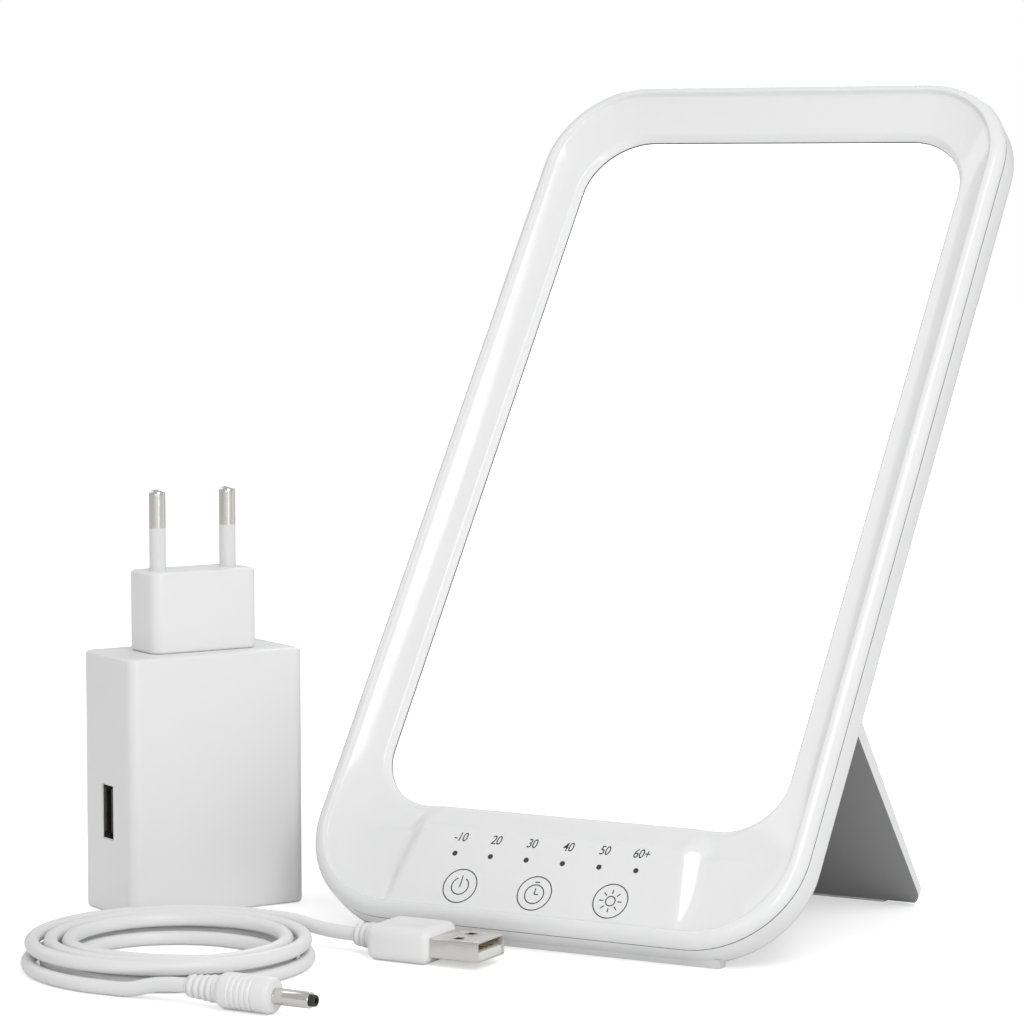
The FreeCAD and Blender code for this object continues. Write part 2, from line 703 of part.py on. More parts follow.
def adapter_usb_contacts():
    left = -ADAPTER_WIDTH / 2
    contacts = []
    for offset in (-3.5, -1.0, 1.0, 3.5):
        low = Vector(left + 2.4, -0.85, SOCKET_HEIGHT + offset - 0.5)
        contacts.append(box(low, Vector(left + 11.0, -0.6, SOCKET_HEIGHT + offset + 0.5)))
    return Part.makeCompound(contacts)


def adapter_board():
    board = box(Vector(-20.0, 2.95, 4.0), Vector(20.0, 4.55, 56.0))
    return board


def adapter_transformer():
    core = box(Vector(-2.0, -9.0, 30.0), Vector(14.0, 2.95, 46.0))
    core = core.cut(box(Vector(0.5, -9.5, 32.5), Vector(11.5, -6.5, 43.5)))
    return core


def adapter_capacitors():
    cans = [
        rod(4.2, 14.0, Vector(8.0, -2.4, 6.0), Z_AXIS),
        rod(4.2, 12.0, Vector(-12.0, -2.4, 38.0), Z_AXIS),
        rod(3.0, 10.0, Vector(-3.0, -1.6, 7.0), Z_AXIS),
    ]
    return Part.makeCompound(cans)


# Lead

def beside_coil(shape):
    placed = shape.copy()
    placed.translate(COIL_CENTRE)
    return placed


def coil_turns():
    return 2 * LAYER_TURNS + CLIMB_TURNS


def coil_point(turn):
    """The cord's centre after so many turns from its near, lower, outer end, going clockwise."""
    inner = COIL_OUTER - COIL_PITCH * LAYER_TURNS
    low = CORD_RADIUS
    if turn <= LAYER_TURNS:
        radius = COIL_OUTER - COIL_PITCH * turn
        height = low
    elif turn < LAYER_TURNS + CLIMB_TURNS:
        climbed = turn - LAYER_TURNS
        share = climbed / CLIMB_TURNS
        radius = inner - COIL_PITCH * climbed * (1 - share)
        height = low + LAYER_STEP * share * share * (3 - 2 * share)
    else:
        radius = inner + COIL_PITCH * (turn - LAYER_TURNS - CLIMB_TURNS)
        height = low + LAYER_STEP
    angle = -math.pi / 2 - 2 * math.pi * turn
    return Vector(radius * math.cos(angle), radius * math.sin(angle), height)


def coil_direction(turn):
    if turn <= 0:
        return Vector(-1, 0, 0)
    if turn >= coil_turns():
        return Vector(1, 0, 0)
    small = 1e-5
    return (coil_point(turn + small) - coil_point(turn - small)).normalize()


def arc_from(start, direction, end):
    chord = end - start
    along = Vector(chord).normalize()
    angle = direction.getAngle(chord)
    side = direction - along * direction.dot(along)
    bulge = side.normalize() * (chord.Length / 2 * math.tan(angle / 2))
    return Part.Arc(start, (start + end) / 2 + bulge, end).toShape()


def biarc(start, first_way, end, last_way):
    """Two tangent arcs from one point and direction to another."""
    chord = end - start
    ways = first_way + last_way
    spread = 2 * (1 - first_way.dot(last_way))
    reach = chord.dot(ways)
    distance = (-reach + math.sqrt(reach * reach + spread * chord.dot(chord))) / spread
    joint = (start + end + (first_way - last_way) * distance) / 2
    second = arc_from(end, last_way * -1, joint)
    return [arc_from(start, first_way, joint), second]


def coil_path():
    edges = [Part.LineSegment(DC_TAIL[0], coil_point(0)).toShape()]
    quarters = int(round(coil_turns() * 4))
    for quarter in range(quarters):
        start = quarter / 4
        end = (quarter + 1) / 4
        edges += biarc(coil_point(start), coil_direction(start), coil_point(end), coil_direction(end))
    edges.append(Part.LineSegment(coil_point(coil_turns()), USB_TAIL[0]).toShape())
    return Part.Wire(Part.__sortEdges__(edges))


def least_gap(path):
    """The least gap between stretches of the cord that are over a third of a turn apart along it."""
    step = 1.5
    points = path.discretize(Distance=step)
    apart = int(40 / step)
    least = 1e9
    for index, point in enumerate(points):
        for other in points[index + apart:]:
            least = min(least, point.distanceToPoint(other))
    return least - 2 * CORD_RADIUS


def cord_coil():
    path = coil_path()
    start = path.OrderedVertexes[0].Point
    section = Part.Wire(Part.makeCircle(CORD_RADIUS, start, Vector(1, 0, 0)))
    shell = Part.BRepOffsetAPI.MakePipeShell(path)
    shell.add(section)
    shell.build()
    shell.makeSolid()
    solid = shell.shape()
    plain_volume = math.pi * CORD_RADIUS ** 2 * path.Length
    print("coil length", round(path.Length, 1), "least gap", round(least_gap(path), 2))
    print("coil volume over section times length", round(solid.Volume / plain_volume, 4))
    return beside_coil(solid)


def cord_tail(name, points):
    solid, length, radii = bent_wire(points, CORD_RADIUS)
    plain_volume = math.pi * CORD_RADIUS ** 2 * length
    print(name, "length", round(length, 1), "radii", [round(radius, 1) for radius in radii])
    print(name, "volume over section times length", round(solid.Volume / plain_volume, 4))
    return beside_coil(solid)


def ribbed_sleeve(start, length, thick, thin):
    """A tapered strain relief with grooves round it, thick at the plug."""
    sleeve = Part.makeCone(thin, thick, length, start, X_AXIS)
    count = 3
    grooves = []
    for index in range(count):
        place = start + X_AXIS * (length * (index + 0.6) / (count + 0.4))
        grooves.append(tube(thick + 1, thin - 0.15, length * 0.12, place, X_AXIS))
    return sleeve.cut(Part.makeCompound(grooves))


def usb_strain_relief():
    return beside_coil(ribbed_sleeve(USB_TAIL[-1], 6.0, 3.0, 2.4))


def usb_plug_grip():
    start = USB_TAIL[-1] + X_AXIS * 6.0
    low = start + Vector(0, -7.2, -USB_GRIP_HEIGHT / 2)
    grip = box(low, low + Vector(16.0, 14.4, USB_GRIP_HEIGHT))
    along = [edge for edge in grip.Edges if abs(edge.tangentAt(0).x) > 0.9]
    grip = grip.makeFillet(1.6, along)
    shoulder = [edge for edge in grip.Edges if edge.BoundBox.XMax < start.x + 0.01]
    grip = grip.makeFillet(1.0, shoulder)
    pocket = box(start + Vector(10.0, -6.0, -2.25), start + Vector(16.5, 6.0, 2.25))
    return beside_coil(grip.cut(pocket))


def usb_plug_shell():
    start = USB_TAIL[-1] + X_AXIS * 16.0
    outer = box(start + Vector(0, -6.0, -2.25), start + Vector(18.0, 6.0, 2.25))
    inner = box(start + Vector(0.3, -5.7, -1.95), start + Vector(18.5, 5.7, 1.95))
    shell = outer.cut(inner)
    for side in (-1, 1):
        low = start + Vector(10.4, side * 2.9 - 1.2, -3)
        shell = shell.cut(box(low, low + Vector(2.2, 2.4, 6)))
    return beside_coil(shell)


def usb_plug_tongue():
    start = USB_TAIL[-1] + X_AXIS * 16.3
    return beside_coil(box(start + Vector(0, -5.6, -1.95), start + Vector(17.2, 5.6, -0.1)))


def usb_plug_contacts():
    start = USB_TAIL[-1] + X_AXIS * 24.0
    contacts = []
    for offset in (-3.5, -1.0, 1.0, 3.5):
        low = start + Vector(0, offset - 0.5, -0.1)
        contacts.append(box(low, low + Vector(8.5, 1.0, 0.2)))
    return beside_coil(Part.makeCompound(contacts))


def dc_strain_relief():
    return beside_coil(ribbed_sleeve(DC_TAIL[-1], 8.0, 2.9, 2.3))


def dc_plug_grip():
    start = DC_TAIL[-1] + X_AXIS * 8.0
    grip = rod(DC_GRIP_RADIUS, 13.0, start, X_AXIS)
    grip = grip.makeFillet(1.0, [edge for edge in grip.Edges if len(edge.Vertexes) == 1])
    return beside_coil(grip.cut(rod(1.75, 4.0, start + X_AXIS * 10.0, X_AXIS)))


def dc_plug_barrel():
    start = DC_TAIL[-1] + X_AXIS * 18.0
    return beside_coil(tube(1.75, 1.25, 12.5, start, X_AXIS))


def dc_plug_insulator():
    start = DC_TAIL[-1] + X_AXIS * 18.0
    return beside_coil(tube(1.25, 0.68, 12.9, start, X_AXIS))


# The nodes, each written to its own file

PANEL_NODES = {
    "front_bezel": front_bezel,
    "rear_cover": rear_cover,
    "diffuser_plate": diffuser_plate,
    "light_guide": light_guide,
    "reflector_sheet": reflector_sheet,
    "back_plate": back_plate,
    "led_boards": led_boards,
    "strip_leds": strip_leds,
    "control_board": control_board,
    "control_chips": control_chips,
    "touch_pads": touch_pads,
    "indicator_leds": indicator_leds,
    "indicator_windows": indicator_windows,
    "jack_body": jack_body,
    "jack_pin": jack_pin,
    "jack_spring": jack_spring,
    "jack_wires": jack_wires,
    "led_wires": led_wires,
    "case_screws": case_screws,
    "base_strip": base_strip_block,
    "stand_panel": stand_panel,
    "stand_foot_strip": stand_foot_strip,
    "hinge_rod": hinge_rod,
    "friction_washers": friction_washers,
}

ADAPTER_NODES = {
    "adapter_case": adapter_case,
    "adapter_base_plate": adapter_base_plate,
    "adapter_plug_block": adapter_plug_block,
    "adapter_pins": adapter_pins,
    "adapter_pin_sleeves": adapter_pin_sleeves,
    "adapter_usb_shell": adapter_usb_shell,
    "adapter_usb_tongue": adapter_usb_tongue,
    "adapter_usb_contacts": adapter_usb_contacts,
    "adapter_board": adapter_board,
    "adapter_transformer": adapter_transformer,
    "adapter_capacitors": adapter_capacitors,
}

LEAD_NODES = {
    "cord_coil": cord_coil,
    "cord_usb_tail": lambda: cord_tail("usb tail", USB_TAIL),
    "cord_dc_tail": lambda: cord_tail("dc tail", DC_TAIL),
    "usb_strain_relief": usb_strain_relief,
    "usb_plug_grip": usb_plug_grip,
    "usb_plug_shell": usb_plug_shell,
    "usb_plug_tongue": usb_plug_tongue,
    "usb_plug_contacts": usb_plug_contacts,
    "dc_strain_relief": dc_strain_relief,
    "dc_plug_grip": dc_plug_grip,
    "dc_plug_barrel": dc_plug_barrel,
    "dc_plug_insulator": dc_plug_insulator,
}


def save(name, shape):
    if not shape.isValid():
        print("not valid", name)
    print(name, "solids", len(shape.Solids), "volume", round(shape.Volume, 1))
    shape.exportStep("parts/" + name + ".step")


os.makedirs("parts", exist_ok=True)
for name, make in PANEL_NODES.items():
    save(name, in_room(make()))
for name, make in ADAPTER_NODES.items():
    save(name, beside_lamp(make()))
for name, make in LEAD_NODES.items():
    save(name, make())

hinge = in_room(Part.Vertex(0, HINGE_DEPTH, HINGE_HEIGHT)).Point
jack = in_room(Part.Vertex(-61.4, JACK_DEPTH, JACK_HEIGHT)).Point
print("hinge axis", hinge, "socket mouth", jack)
print("folded end of the stand", round(stand_low_end(), 2))
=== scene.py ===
# A light therapy lamp on its folding stand, with its coiled lead and wall adapter, in a pale studio.
# Metres. +X is the lamp's right seen from the front, -Y its front, +Z up, as in the solid model.
import math
import bpy
from mathutils import Matrix, Vector


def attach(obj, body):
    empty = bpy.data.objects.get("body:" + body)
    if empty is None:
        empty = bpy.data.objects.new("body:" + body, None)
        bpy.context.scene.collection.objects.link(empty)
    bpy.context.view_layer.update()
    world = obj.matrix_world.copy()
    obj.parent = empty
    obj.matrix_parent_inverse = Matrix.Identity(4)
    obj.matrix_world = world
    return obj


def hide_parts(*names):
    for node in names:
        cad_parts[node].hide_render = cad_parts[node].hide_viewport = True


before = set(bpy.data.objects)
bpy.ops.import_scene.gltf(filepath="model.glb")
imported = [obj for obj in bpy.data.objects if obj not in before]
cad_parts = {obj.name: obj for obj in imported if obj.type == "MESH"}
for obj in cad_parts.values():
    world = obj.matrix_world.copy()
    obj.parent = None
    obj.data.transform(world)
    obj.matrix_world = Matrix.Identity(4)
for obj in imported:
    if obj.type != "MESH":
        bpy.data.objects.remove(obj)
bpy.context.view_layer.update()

MM = 0.001

# Camera: the angle, distance and lens fitted to the lamp's edges in the photograph.
# It looks a little down from the lamp's right-hand front.
camera_azimuth = math.radians(28.55)
camera_elevation = math.radians(5.03)
camera_distance = 843.2 * MM
camera_target = Vector((-5.9, -3.05, 97.9)) * MM
toward_camera = Vector((
    math.sin(camera_azimuth) * math.cos(camera_elevation),
    -math.cos(camera_azimuth) * math.cos(camera_elevation),
    math.sin(camera_elevation),
))
bpy.ops.object.select_all(action="DESELECT")
bpy.ops.object.camera_add(location=camera_target + toward_camera * camera_distance)
camera = bpy.context.object
camera.name = "camera"
camera.rotation_euler = toward_camera.to_track_quat("Z", "Y").to_euler()
camera.data.lens = 133.78
camera.data.sensor_width = 36.0
camera.data.clip_start = 0.01
bpy.context.scene.camera = camera


# Shared finish: moulded plastic. Faint flow and a fine orange peel, from noise on the piece's own place.
def make_moulded_group():
    group = bpy.data.node_groups.new("moulded_skin", "ShaderNodeTree")
    sockets = group.interface
    for name, kind in (
        ("Colour", "NodeSocketColor"), ("Roughness", "NodeSocketFloat"),
        ("Peel", "NodeSocketFloat"), ("Grain", "NodeSocketFloat"),
    ):
        sockets.new_socket(name, in_out="INPUT", socket_type=kind)
    for name, kind in (
        ("Colour", "NodeSocketColor"), ("Roughness", "NodeSocketFloat"), ("Normal", "NodeSocketVector"),
    ):
        sockets.new_socket(name, in_out="OUTPUT", socket_type=kind)
    nodes = group.nodes
    links = group.links
    entry = nodes.new("NodeGroupInput")
    result = nodes.new("NodeGroupOutput")
    place = nodes.new("ShaderNodeTexCoord")
    flow = nodes.new("ShaderNodeTexNoise")
    flow.inputs["Scale"].default_value = 35.0
    flow.inputs["Detail"].default_value = 3.0
    links.new(place.outputs["Object"], flow.inputs["Vector"])
    shade = nodes.new("ShaderNodeMapRange")
    shade.inputs["To Min"].default_value = 0.985
    shade.inputs["To Max"].default_value = 1.01
    links.new(flow.outputs["Fac"], shade.inputs["Value"])
    tint = nodes.new("ShaderNodeVectorMath")
    tint.operation = "SCALE"
    links.new(entry.outputs["Colour"], tint.inputs[0])
    links.new(shade.outputs["Result"], tint.inputs["Scale"])
    links.new(tint.outputs["Vector"], result.inputs["Colour"])
    worn = nodes.new("ShaderNodeMath")
    worn.operation = "MULTIPLY_ADD"
    worn.inputs[1].default_value = 0.06
    links.new(flow.outputs["Fac"], worn.inputs[0])
    links.new(entry.outputs["Roughness"], worn.inputs[2])
    links.new(worn.outputs["Value"], result.inputs["Roughness"])
    peel = nodes.new("ShaderNodeTexNoise")
    peel.inputs["Scale"].default_value = 420.0
    peel.inputs["Detail"].default_value = 1.0
    links.new(place.outputs["Object"], peel.inputs["Vector"])
    grain = nodes.new("ShaderNodeTexNoise")
    grain.inputs["Scale"].default_value = 2600.0
    grain.inputs["Detail"].default_value = 2.0
    links.new(place.outputs["Object"], grain.inputs["Vector"])
    peel_height = nodes.new("ShaderNodeMath")
    peel_height.operation = "MULTIPLY"
    links.new(peel.outputs["Fac"], peel_height.inputs[0])
    links.new(entry.outputs["Peel"], peel_height.inputs[1])
    height = nodes.new("ShaderNodeMath")
    height.operation = "MULTIPLY_ADD"
    links.new(grain.outputs["Fac"], height.inputs[0])
    links.new(entry.outputs["Grain"], height.inputs[1])
    links.new(peel_height.outputs["Value"], height.inputs[2])
    bump = nodes.new("ShaderNodeBump")
    bump.inputs["Strength"].default_value = 1.0
    bump.inputs["Distance"].default_value = 0.00005
    links.new(height.outputs["Value"], bump.inputs["Height"])
    links.new(bump.outputs["Normal"], result.inputs["Normal"])
    return group


moulded_group = make_moulded_group()


def moulded(name, colour, roughness, peel, grain, coat=0.0, metallic=0.0, bend=0.0):
    """A material in the shared moulded finish. bend is how far light spreads under the surface."""
    material = bpy.data.materials.new(name)
    material.use_nodes = True
    nodes = material.node_tree.nodes
    links = material.node_tree.links
    shader = nodes["Principled BSDF"]
    skin = nodes.new("ShaderNodeGroup")
    skin.node_tree = moulded_group
    skin.inputs["Colour"].default_value = (*colour, 1)
    skin.inputs["Roughness"].default_value = roughness
    skin.inputs["Peel"].default_value = peel
    skin.inputs["Grain"].default_value = grain
    links.new(skin.outputs["Colour"], shader.inputs["Base Color"])
    links.new(skin.outputs["Roughness"], shader.inputs["Roughness"])
    links.new(skin.outputs["Normal"], shader.inputs["Normal"])
    shader.inputs["Metallic"].default_value = metallic
    shader.inputs["Coat Weight"].default_value = coat
    shader.inputs["Coat Roughness"].default_value = 0.08
    if bend:
        shader.inputs["Subsurface Weight"].default_value = bend
        shader.inputs["Subsurface Radius"].default_value = (0.003, 0.003, 0.003)
    return material


def dress(piece, material):
    piece.data.materials.clear()
    piece.data.materials.append(material)


def dress_node(node, material):
    """Give a solid part that keeps its own shape, in sight or inside, its finish."""
    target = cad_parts[node]
    if not target.material_slots:
        target.data.materials.append(material)
    for slot in target.material_slots:
        slot.material = material


def only(piece):
    """Select one piece alone, in object mode."""
    bpy.ops.object.select_all(action="DESELECT")
    piece.select_set(True)
    bpy.context.view_layer.objects.active = piece


def settle(piece, name):
    """Name a finished piece and move its place into its mesh."""
    piece.name = name
    piece.data.name = name
    only(piece)
    bpy.ops.object.transform_apply(location=True, rotation=True, scale=True)


def place_all(piece, matrix):
    """Carry a piece's mesh from its own axes to where it is in the room."""
    piece.data.transform(matrix)
    piece.data.update()


# Lead: a white PVC lead of about a metre, wound in a flat coil two layers high.
# It runs from the barrel plug, in along the lower layer, up, out along the upper one and to the USB plug.
coil_centre = Vector((-62.0, -55.0, 0.0))
cord_radius = 1.6
coil_outer = 32.2
coil_pitch = 4.1
layer_step = 4.0
layer_turns = 2.5
climb_turns = 0.5
points_per_turn = 24
usb_tail = [(3.5, 32.2, 5.6), (11.5, 32.2, 5.6), (20.0, 31.6, 4.0), (28.0, 31.6, 4.0)]
dc_tail = [(3.5, -32.2, 1.6), (10.5, -32.2, 1.6), (18.0, -31.4, 3.9), (25.0, -31.4, 3.9)]


def coil_point(turn):
    inner = coil_outer - coil_pitch * layer_turns
    if turn <= layer_turns:
        radius = coil_outer - coil_pitch * turn
        height = cord_radius
    elif turn < layer_turns + climb_turns:
        climbed = turn - layer_turns
        share = climbed / climb_turns
        radius = inner - coil_pitch * climbed * (1 - share)
        height = cord_radius + layer_step * share * share * (3 - 2 * share)
    else:
        radius = inner + coil_pitch * (turn - layer_turns - climb_turns)
        height = cord_radius + layer_step
    radius /= math.cos(math.pi / points_per_turn)
    angle = -math.pi / 2 - 2 * math.pi * turn
    return (radius * math.cos(angle), radius * math.sin(angle), height)


cord_points = list(reversed(dc_tail))
coil_steps = int(round((2 * layer_turns + climb_turns) * points_per_turn))
for step in range(coil_steps + 1):
    cord_points.append(coil_point(step / points_per_turn))
cord_points += usb_tail

lead_curve = bpy.data.curves.new("lead_cord", "CURVE")
lead_curve.dimensions = "3D"
lead_spline = lead_curve.splines.new("NURBS")
lead_spline.points.add(len(cord_points) - 1)
for point, spot in zip(lead_spline.points, cord_points):
    point.co = (*((coil_centre + Vector(spot)) * MM), 1)
lead_spline.order_u = 3
lead_spline.use_endpoint_u = True
lead_spline.resolution_u = 5
lead_curve.bevel_depth = cord_radius * MM
lead_curve.bevel_resolution = 6
lead_curve.use_fill_caps = True
lead_cord = bpy.data.objects.new("lead_cord", lead_curve)
bpy.context.collection.objects.link(lead_cord)
cord_white = moulded("soft_white_pvc", (0.80, 0.80, 0.80), 0.36, 0.5, 0.15, bend=0.05)
lead_curve.materials.append(cord_white)
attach(lead_cord, "usb_lead")
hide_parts("cord_coil", "cord_usb_tail", "cord_dc_tail")


# Strain reliefs: soft tapered sleeves with three or four ribs, moulded on the lead where it enters each plug.
# They are turned from a disc that is pushed along the lead and widened ring by ring.
def turned(name, start, stations, sides=40):
    """A closed round body along +X: start in millimetres, stations of (place, radius)."""
    first_place, first_radius = stations[0]
    bpy.ops.object.select_all(action="DESELECT")
    bpy.ops.mesh.primitive_circle_add(
        vertices=sides, radius=first_radius * MM, fill_type="NGON",
        location=(start + Vector((first_place, 0, 0))) * MM, rotation=(0, math.pi / 2, 0),
    )
    piece = bpy.context.object
    only(piece)
    bpy.ops.object.transform_apply(location=True, rotation=True, scale=True)
    bpy.ops.object.mode_set(mode="EDIT")
    bpy.ops.mesh.select_all(action="SELECT")
    place, radius = first_place, first_radius
    for next_place, next_radius in stations[1:]:
        step = (next_place - place) * MM
        bpy.ops.mesh.extrude_region_move(TRANSFORM_OT_translate={"value": (step, 0, 0)})
        factor = next_radius / radius
        bpy.ops.transform.resize(
            value=(1, factor, factor), center_override=(start + Vector((next_place, 0, 0))) * MM,
        )
        place, radius = next_place, next_radius
    bpy.ops.mesh.select_all(action="SELECT")
    bpy.ops.mesh.normals_make_consistent(inside=False)
    bpy.ops.object.mode_set(mode="OBJECT")
    bpy.ops.object.shade_smooth_by_angle(angle=math.radians(35))
    settle(piece, name)
    return piece


def ribs(length, thin, thick, count):
    """Stations of a tapered sleeve with rounded ribs, thick at its far end."""
    stations = [(0.0, thin * 0.9), (0.15, thin)]
    pitch = (length - 1.4) / count
    for index in range(count):
        radius = thin + (thick - thin) * (index + 1) / count
        base = 0.3 + index * pitch
        for share, height in ((0.0, 0.78), (0.12, 0.93), (0.3, 1.0), (0.55, 1.0), (0.73, 0.93), (0.85, 0.78)):
            stations.append((base + share * pitch, radius * height))
    stations += [(length - 1.0, thick), (length, thick)]
    return stations


usb_end = coil_centre + Vector(usb_tail[-1])
dc_end = coil_centre + Vector(dc_tail[-1])
usb_relief = turned("usb_relief", usb_end, ribs(6.0, 2.4, 3.0, 3))
dc_relief = turned("dc_relief", dc_end, ribs(8.0, 2.3, 2.9, 4))
for relief, node in ((usb_relief, "usb_strain_relief"), (dc_relief, "dc_strain_relief")):
    dress(relief, cord_white)
    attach(relief, "usb_lead")
    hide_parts(node)


# USB plug grip: a soft white block moulded round the shell's tail, its long edges well rounded.
# A shallow oval thumb rest is pressed into each broad face.
def rounded_block(name, low, high, radius, segments, along=None):
    """A block between two corners in millimetres. along keeps the rounding to edges along one axis."""
    centre = (low + high) / 2
    bpy.ops.object.select_all(action="DESELECT")
    bpy.ops.mesh.primitive_cube_add(size=1, location=centre * MM)
    piece = bpy.context.object
    piece.scale = (high - low) * MM
    settle(piece, name)
    bpy.ops.object.mode_set(mode="EDIT")
    bpy.ops.mesh.select_all(action="DESELECT")
    bpy.ops.object.mode_set(mode="OBJECT")
    for edge in piece.data.edges:
        ends = [piece.data.vertices[index].co for index in edge.vertices]
        way = (ends[1] - ends[0]).normalized()
        edge.select = along is None or abs(way.dot(along)) > 0.9
    bpy.ops.object.mode_set(mode="EDIT")
    bpy.ops.mesh.select_mode(type="EDGE")
    bpy.ops.mesh.bevel(offset=radius * MM, segments=segments, profile=0.5)
    bpy.ops.object.mode_set(mode="OBJECT")
    return piece


def soften(piece, width, segments=3, angle=30):
    """Round off every sharp edge that is left."""
    only(piece)
    bevel = piece.modifiers.new("soft_edges", "BEVEL")
    bevel.width = width * MM
    bevel.segments = segments
    bevel.limit_method = "ANGLE"
    bevel.angle_limit = math.radians(angle)
    bpy.ops.object.modifier_apply(modifier=bevel.name)
    bpy.ops.object.shade_smooth_by_angle(angle=math.radians(40))


def carve(piece, cutter, operation="DIFFERENCE"):
    """Cut a shape out of a piece, or weld it on, and throw the tool away."""
    only(piece)
    cut = piece.modifiers.new("cut", "BOOLEAN")
    cut.operation = operation
    cut.solver = "EXACT"
    cut.object = cutter
    bpy.ops.object.modifier_apply(modifier=cut.name)
    bpy.data.objects.remove(cutter, do_unlink=True)


grip_start = usb_end + Vector((6.0, 0, 0))
usb_grip = rounded_block(
    "usb_grip", grip_start + Vector((0, -7.2, -4.0)), grip_start + Vector((16.0, 7.2, 4.0)),
    2.2, 6, along=Vector((1, 0, 0)),
)
for side in (-1, 1):
    bpy.ops.object.select_all(action="DESELECT")
    bpy.ops.mesh.primitive_uv_sphere_add(
        segments=48, ring_count=24, radius=1,
        location=(grip_start + Vector((8.2, 0, side * 7.6))) * MM,
    )
    thumb_tool = bpy.context.object
    thumb_tool.scale = Vector((11.0, 9.0, 4.1)) * MM
    only(thumb_tool)
    bpy.ops.object.transform_apply(location=True, rotation=True, scale=True)
    carve(usb_grip, thumb_tool)
soften(usb_grip, 0.7, 4, 50)
plug_white = moulded("plug_white_pvc", (0.82, 0.82, 0.82), 0.3, 0.4, 0.1, bend=0.05)
dress(usb_grip, plug_white)
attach(usb_grip, "usb_lead")
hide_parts("usb_plug_grip")

# Barrel plug grip: a round white grip with softened ends and a ring of fine flutes near its middle.
dc_grip_start = dc_end + Vector((8.0, 0, 0))
grip_stations = [(0.0, 2.7), (0.15, 3.2), (0.6, 3.65), (1.2, 3.85), (1.8, 3.9)]
for index in range(5):
    base = 3.2 + index * 1.3
    for share, radius in ((0.0, 3.9), (0.15, 3.72), (0.35, 3.62), (0.55, 3.72), (0.7, 3.9)):
        grip_stations.append((base + share, radius))
grip_stations += [(11.6, 3.9), (12.3, 3.8), (12.8, 3.5), (13.0, 3.0)]
dc_grip = turned("dc_grip", dc_grip_start, grip_stations, sides=56)
dress(dc_grip, plug_white)
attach(dc_grip, "usb_lead")
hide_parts("dc_plug_grip")

# Metal of the plugs: nickel-plated steel, brushed faintly by handling, with gold-flashed contacts.
nickel = moulded("nickel_plate", (0.72, 0.71, 0.68), 0.2, 0.15, 0.25, metallic=1.0)
contact_gold = moulded("contact_gold", (0.80, 0.60, 0.26), 0.22, 0.1, 0.2, metallic=1.0)
plug_black = moulded("plug_black", (0.025, 0.025, 0.025), 0.4, 0.3, 0.3)
tongue_white = moulded("tongue_white", (0.78, 0.78, 0.76), 0.35, 0.2, 0.2)
usb_shell = rounded_block(
    "usb_shell", usb_end + Vector((21.5, -6.0, -2.25)), usb_end + Vector((34.0, 6.0, 2.25)),
    0.55, 4, along=Vector((1, 0, 0)),
)
shell_room = rounded_block(
    "shell_room", usb_end + Vector((21.8, -5.7, -1.95)), usb_end + Vector((35.0, 5.7, 1.95)),
    0.3, 3, along=Vector((1, 0, 0)),
)
carve(usb_shell, shell_room)
for side in (-1, 1):
    window_low = usb_end + Vector((26.4, side * 2.9 - 1.2, -3.0))
    window_tool = rounded_block("window_tool", window_low, window_low + Vector((2.2, 2.4, 6.0)), 0.15, 2)
    carve(usb_shell, window_tool)
soften(usb_shell, 0.06, 2, 50)
dress(usb_shell, nickel)
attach(usb_shell, "usb_lead")
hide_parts("usb_plug_shell")
dress_node("usb_plug_tongue", tongue_white)
dress_node("usb_plug_contacts", contact_gold)
dc_barrel = turned("dc_barrel", dc_end, [
    (20.8, 1.6), (20.8, 1.75), (21.4, 1.75), (21.5, 1.68), (21.7, 1.68), (21.8, 1.75),
    (29.4, 1.75), (29.6, 1.72), (29.7, 1.62), (29.7, 1.3), (29.3, 1.28),
])
dress(dc_barrel, nickel)
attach(dc_barrel, "usb_lead")
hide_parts("dc_plug_barrel")
dc_tip = turned("dc_tip", dc_end, [
    (29.0, 1.26), (30.5, 1.26), (30.8, 1.2), (30.9, 1.05), (30.9, 0.7), (29.6, 0.66), (29.6, 0.1),
])
dress(dc_tip, plug_black)
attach(dc_tip, "usb_lead")
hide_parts("dc_plug_insulator")

# Panel: everything from here to the stand is modelled on the panel's own axes and then leaned back.
# Its x runs across, y is the depth behind the front plane and z the height along the face.
panel_lean = math.radians(36.3)
on_floor = Matrix.Translation(Vector((0, -9.03, 6.31)) * MM) @ Matrix.Rotation(-panel_lean, 4, "X")
panel_half_width = 62.0
panel_height = 235.0


def frame_distance(x, z, half_width, low, high, top_radius, bottom_radius):
    """How far a point is outside a rounded rectangle, in millimetres; negative inside."""
    middle = (low + high) / 2
    radius = top_radius if z > middle else bottom_radius
    across = abs(x) - half_width + radius
    up = abs(z - middle) - (high - low) / 2 + radius
    outside = math.hypot(max(across, 0), max(up, 0))
    return outside + min(max(across, up), 0) - radius


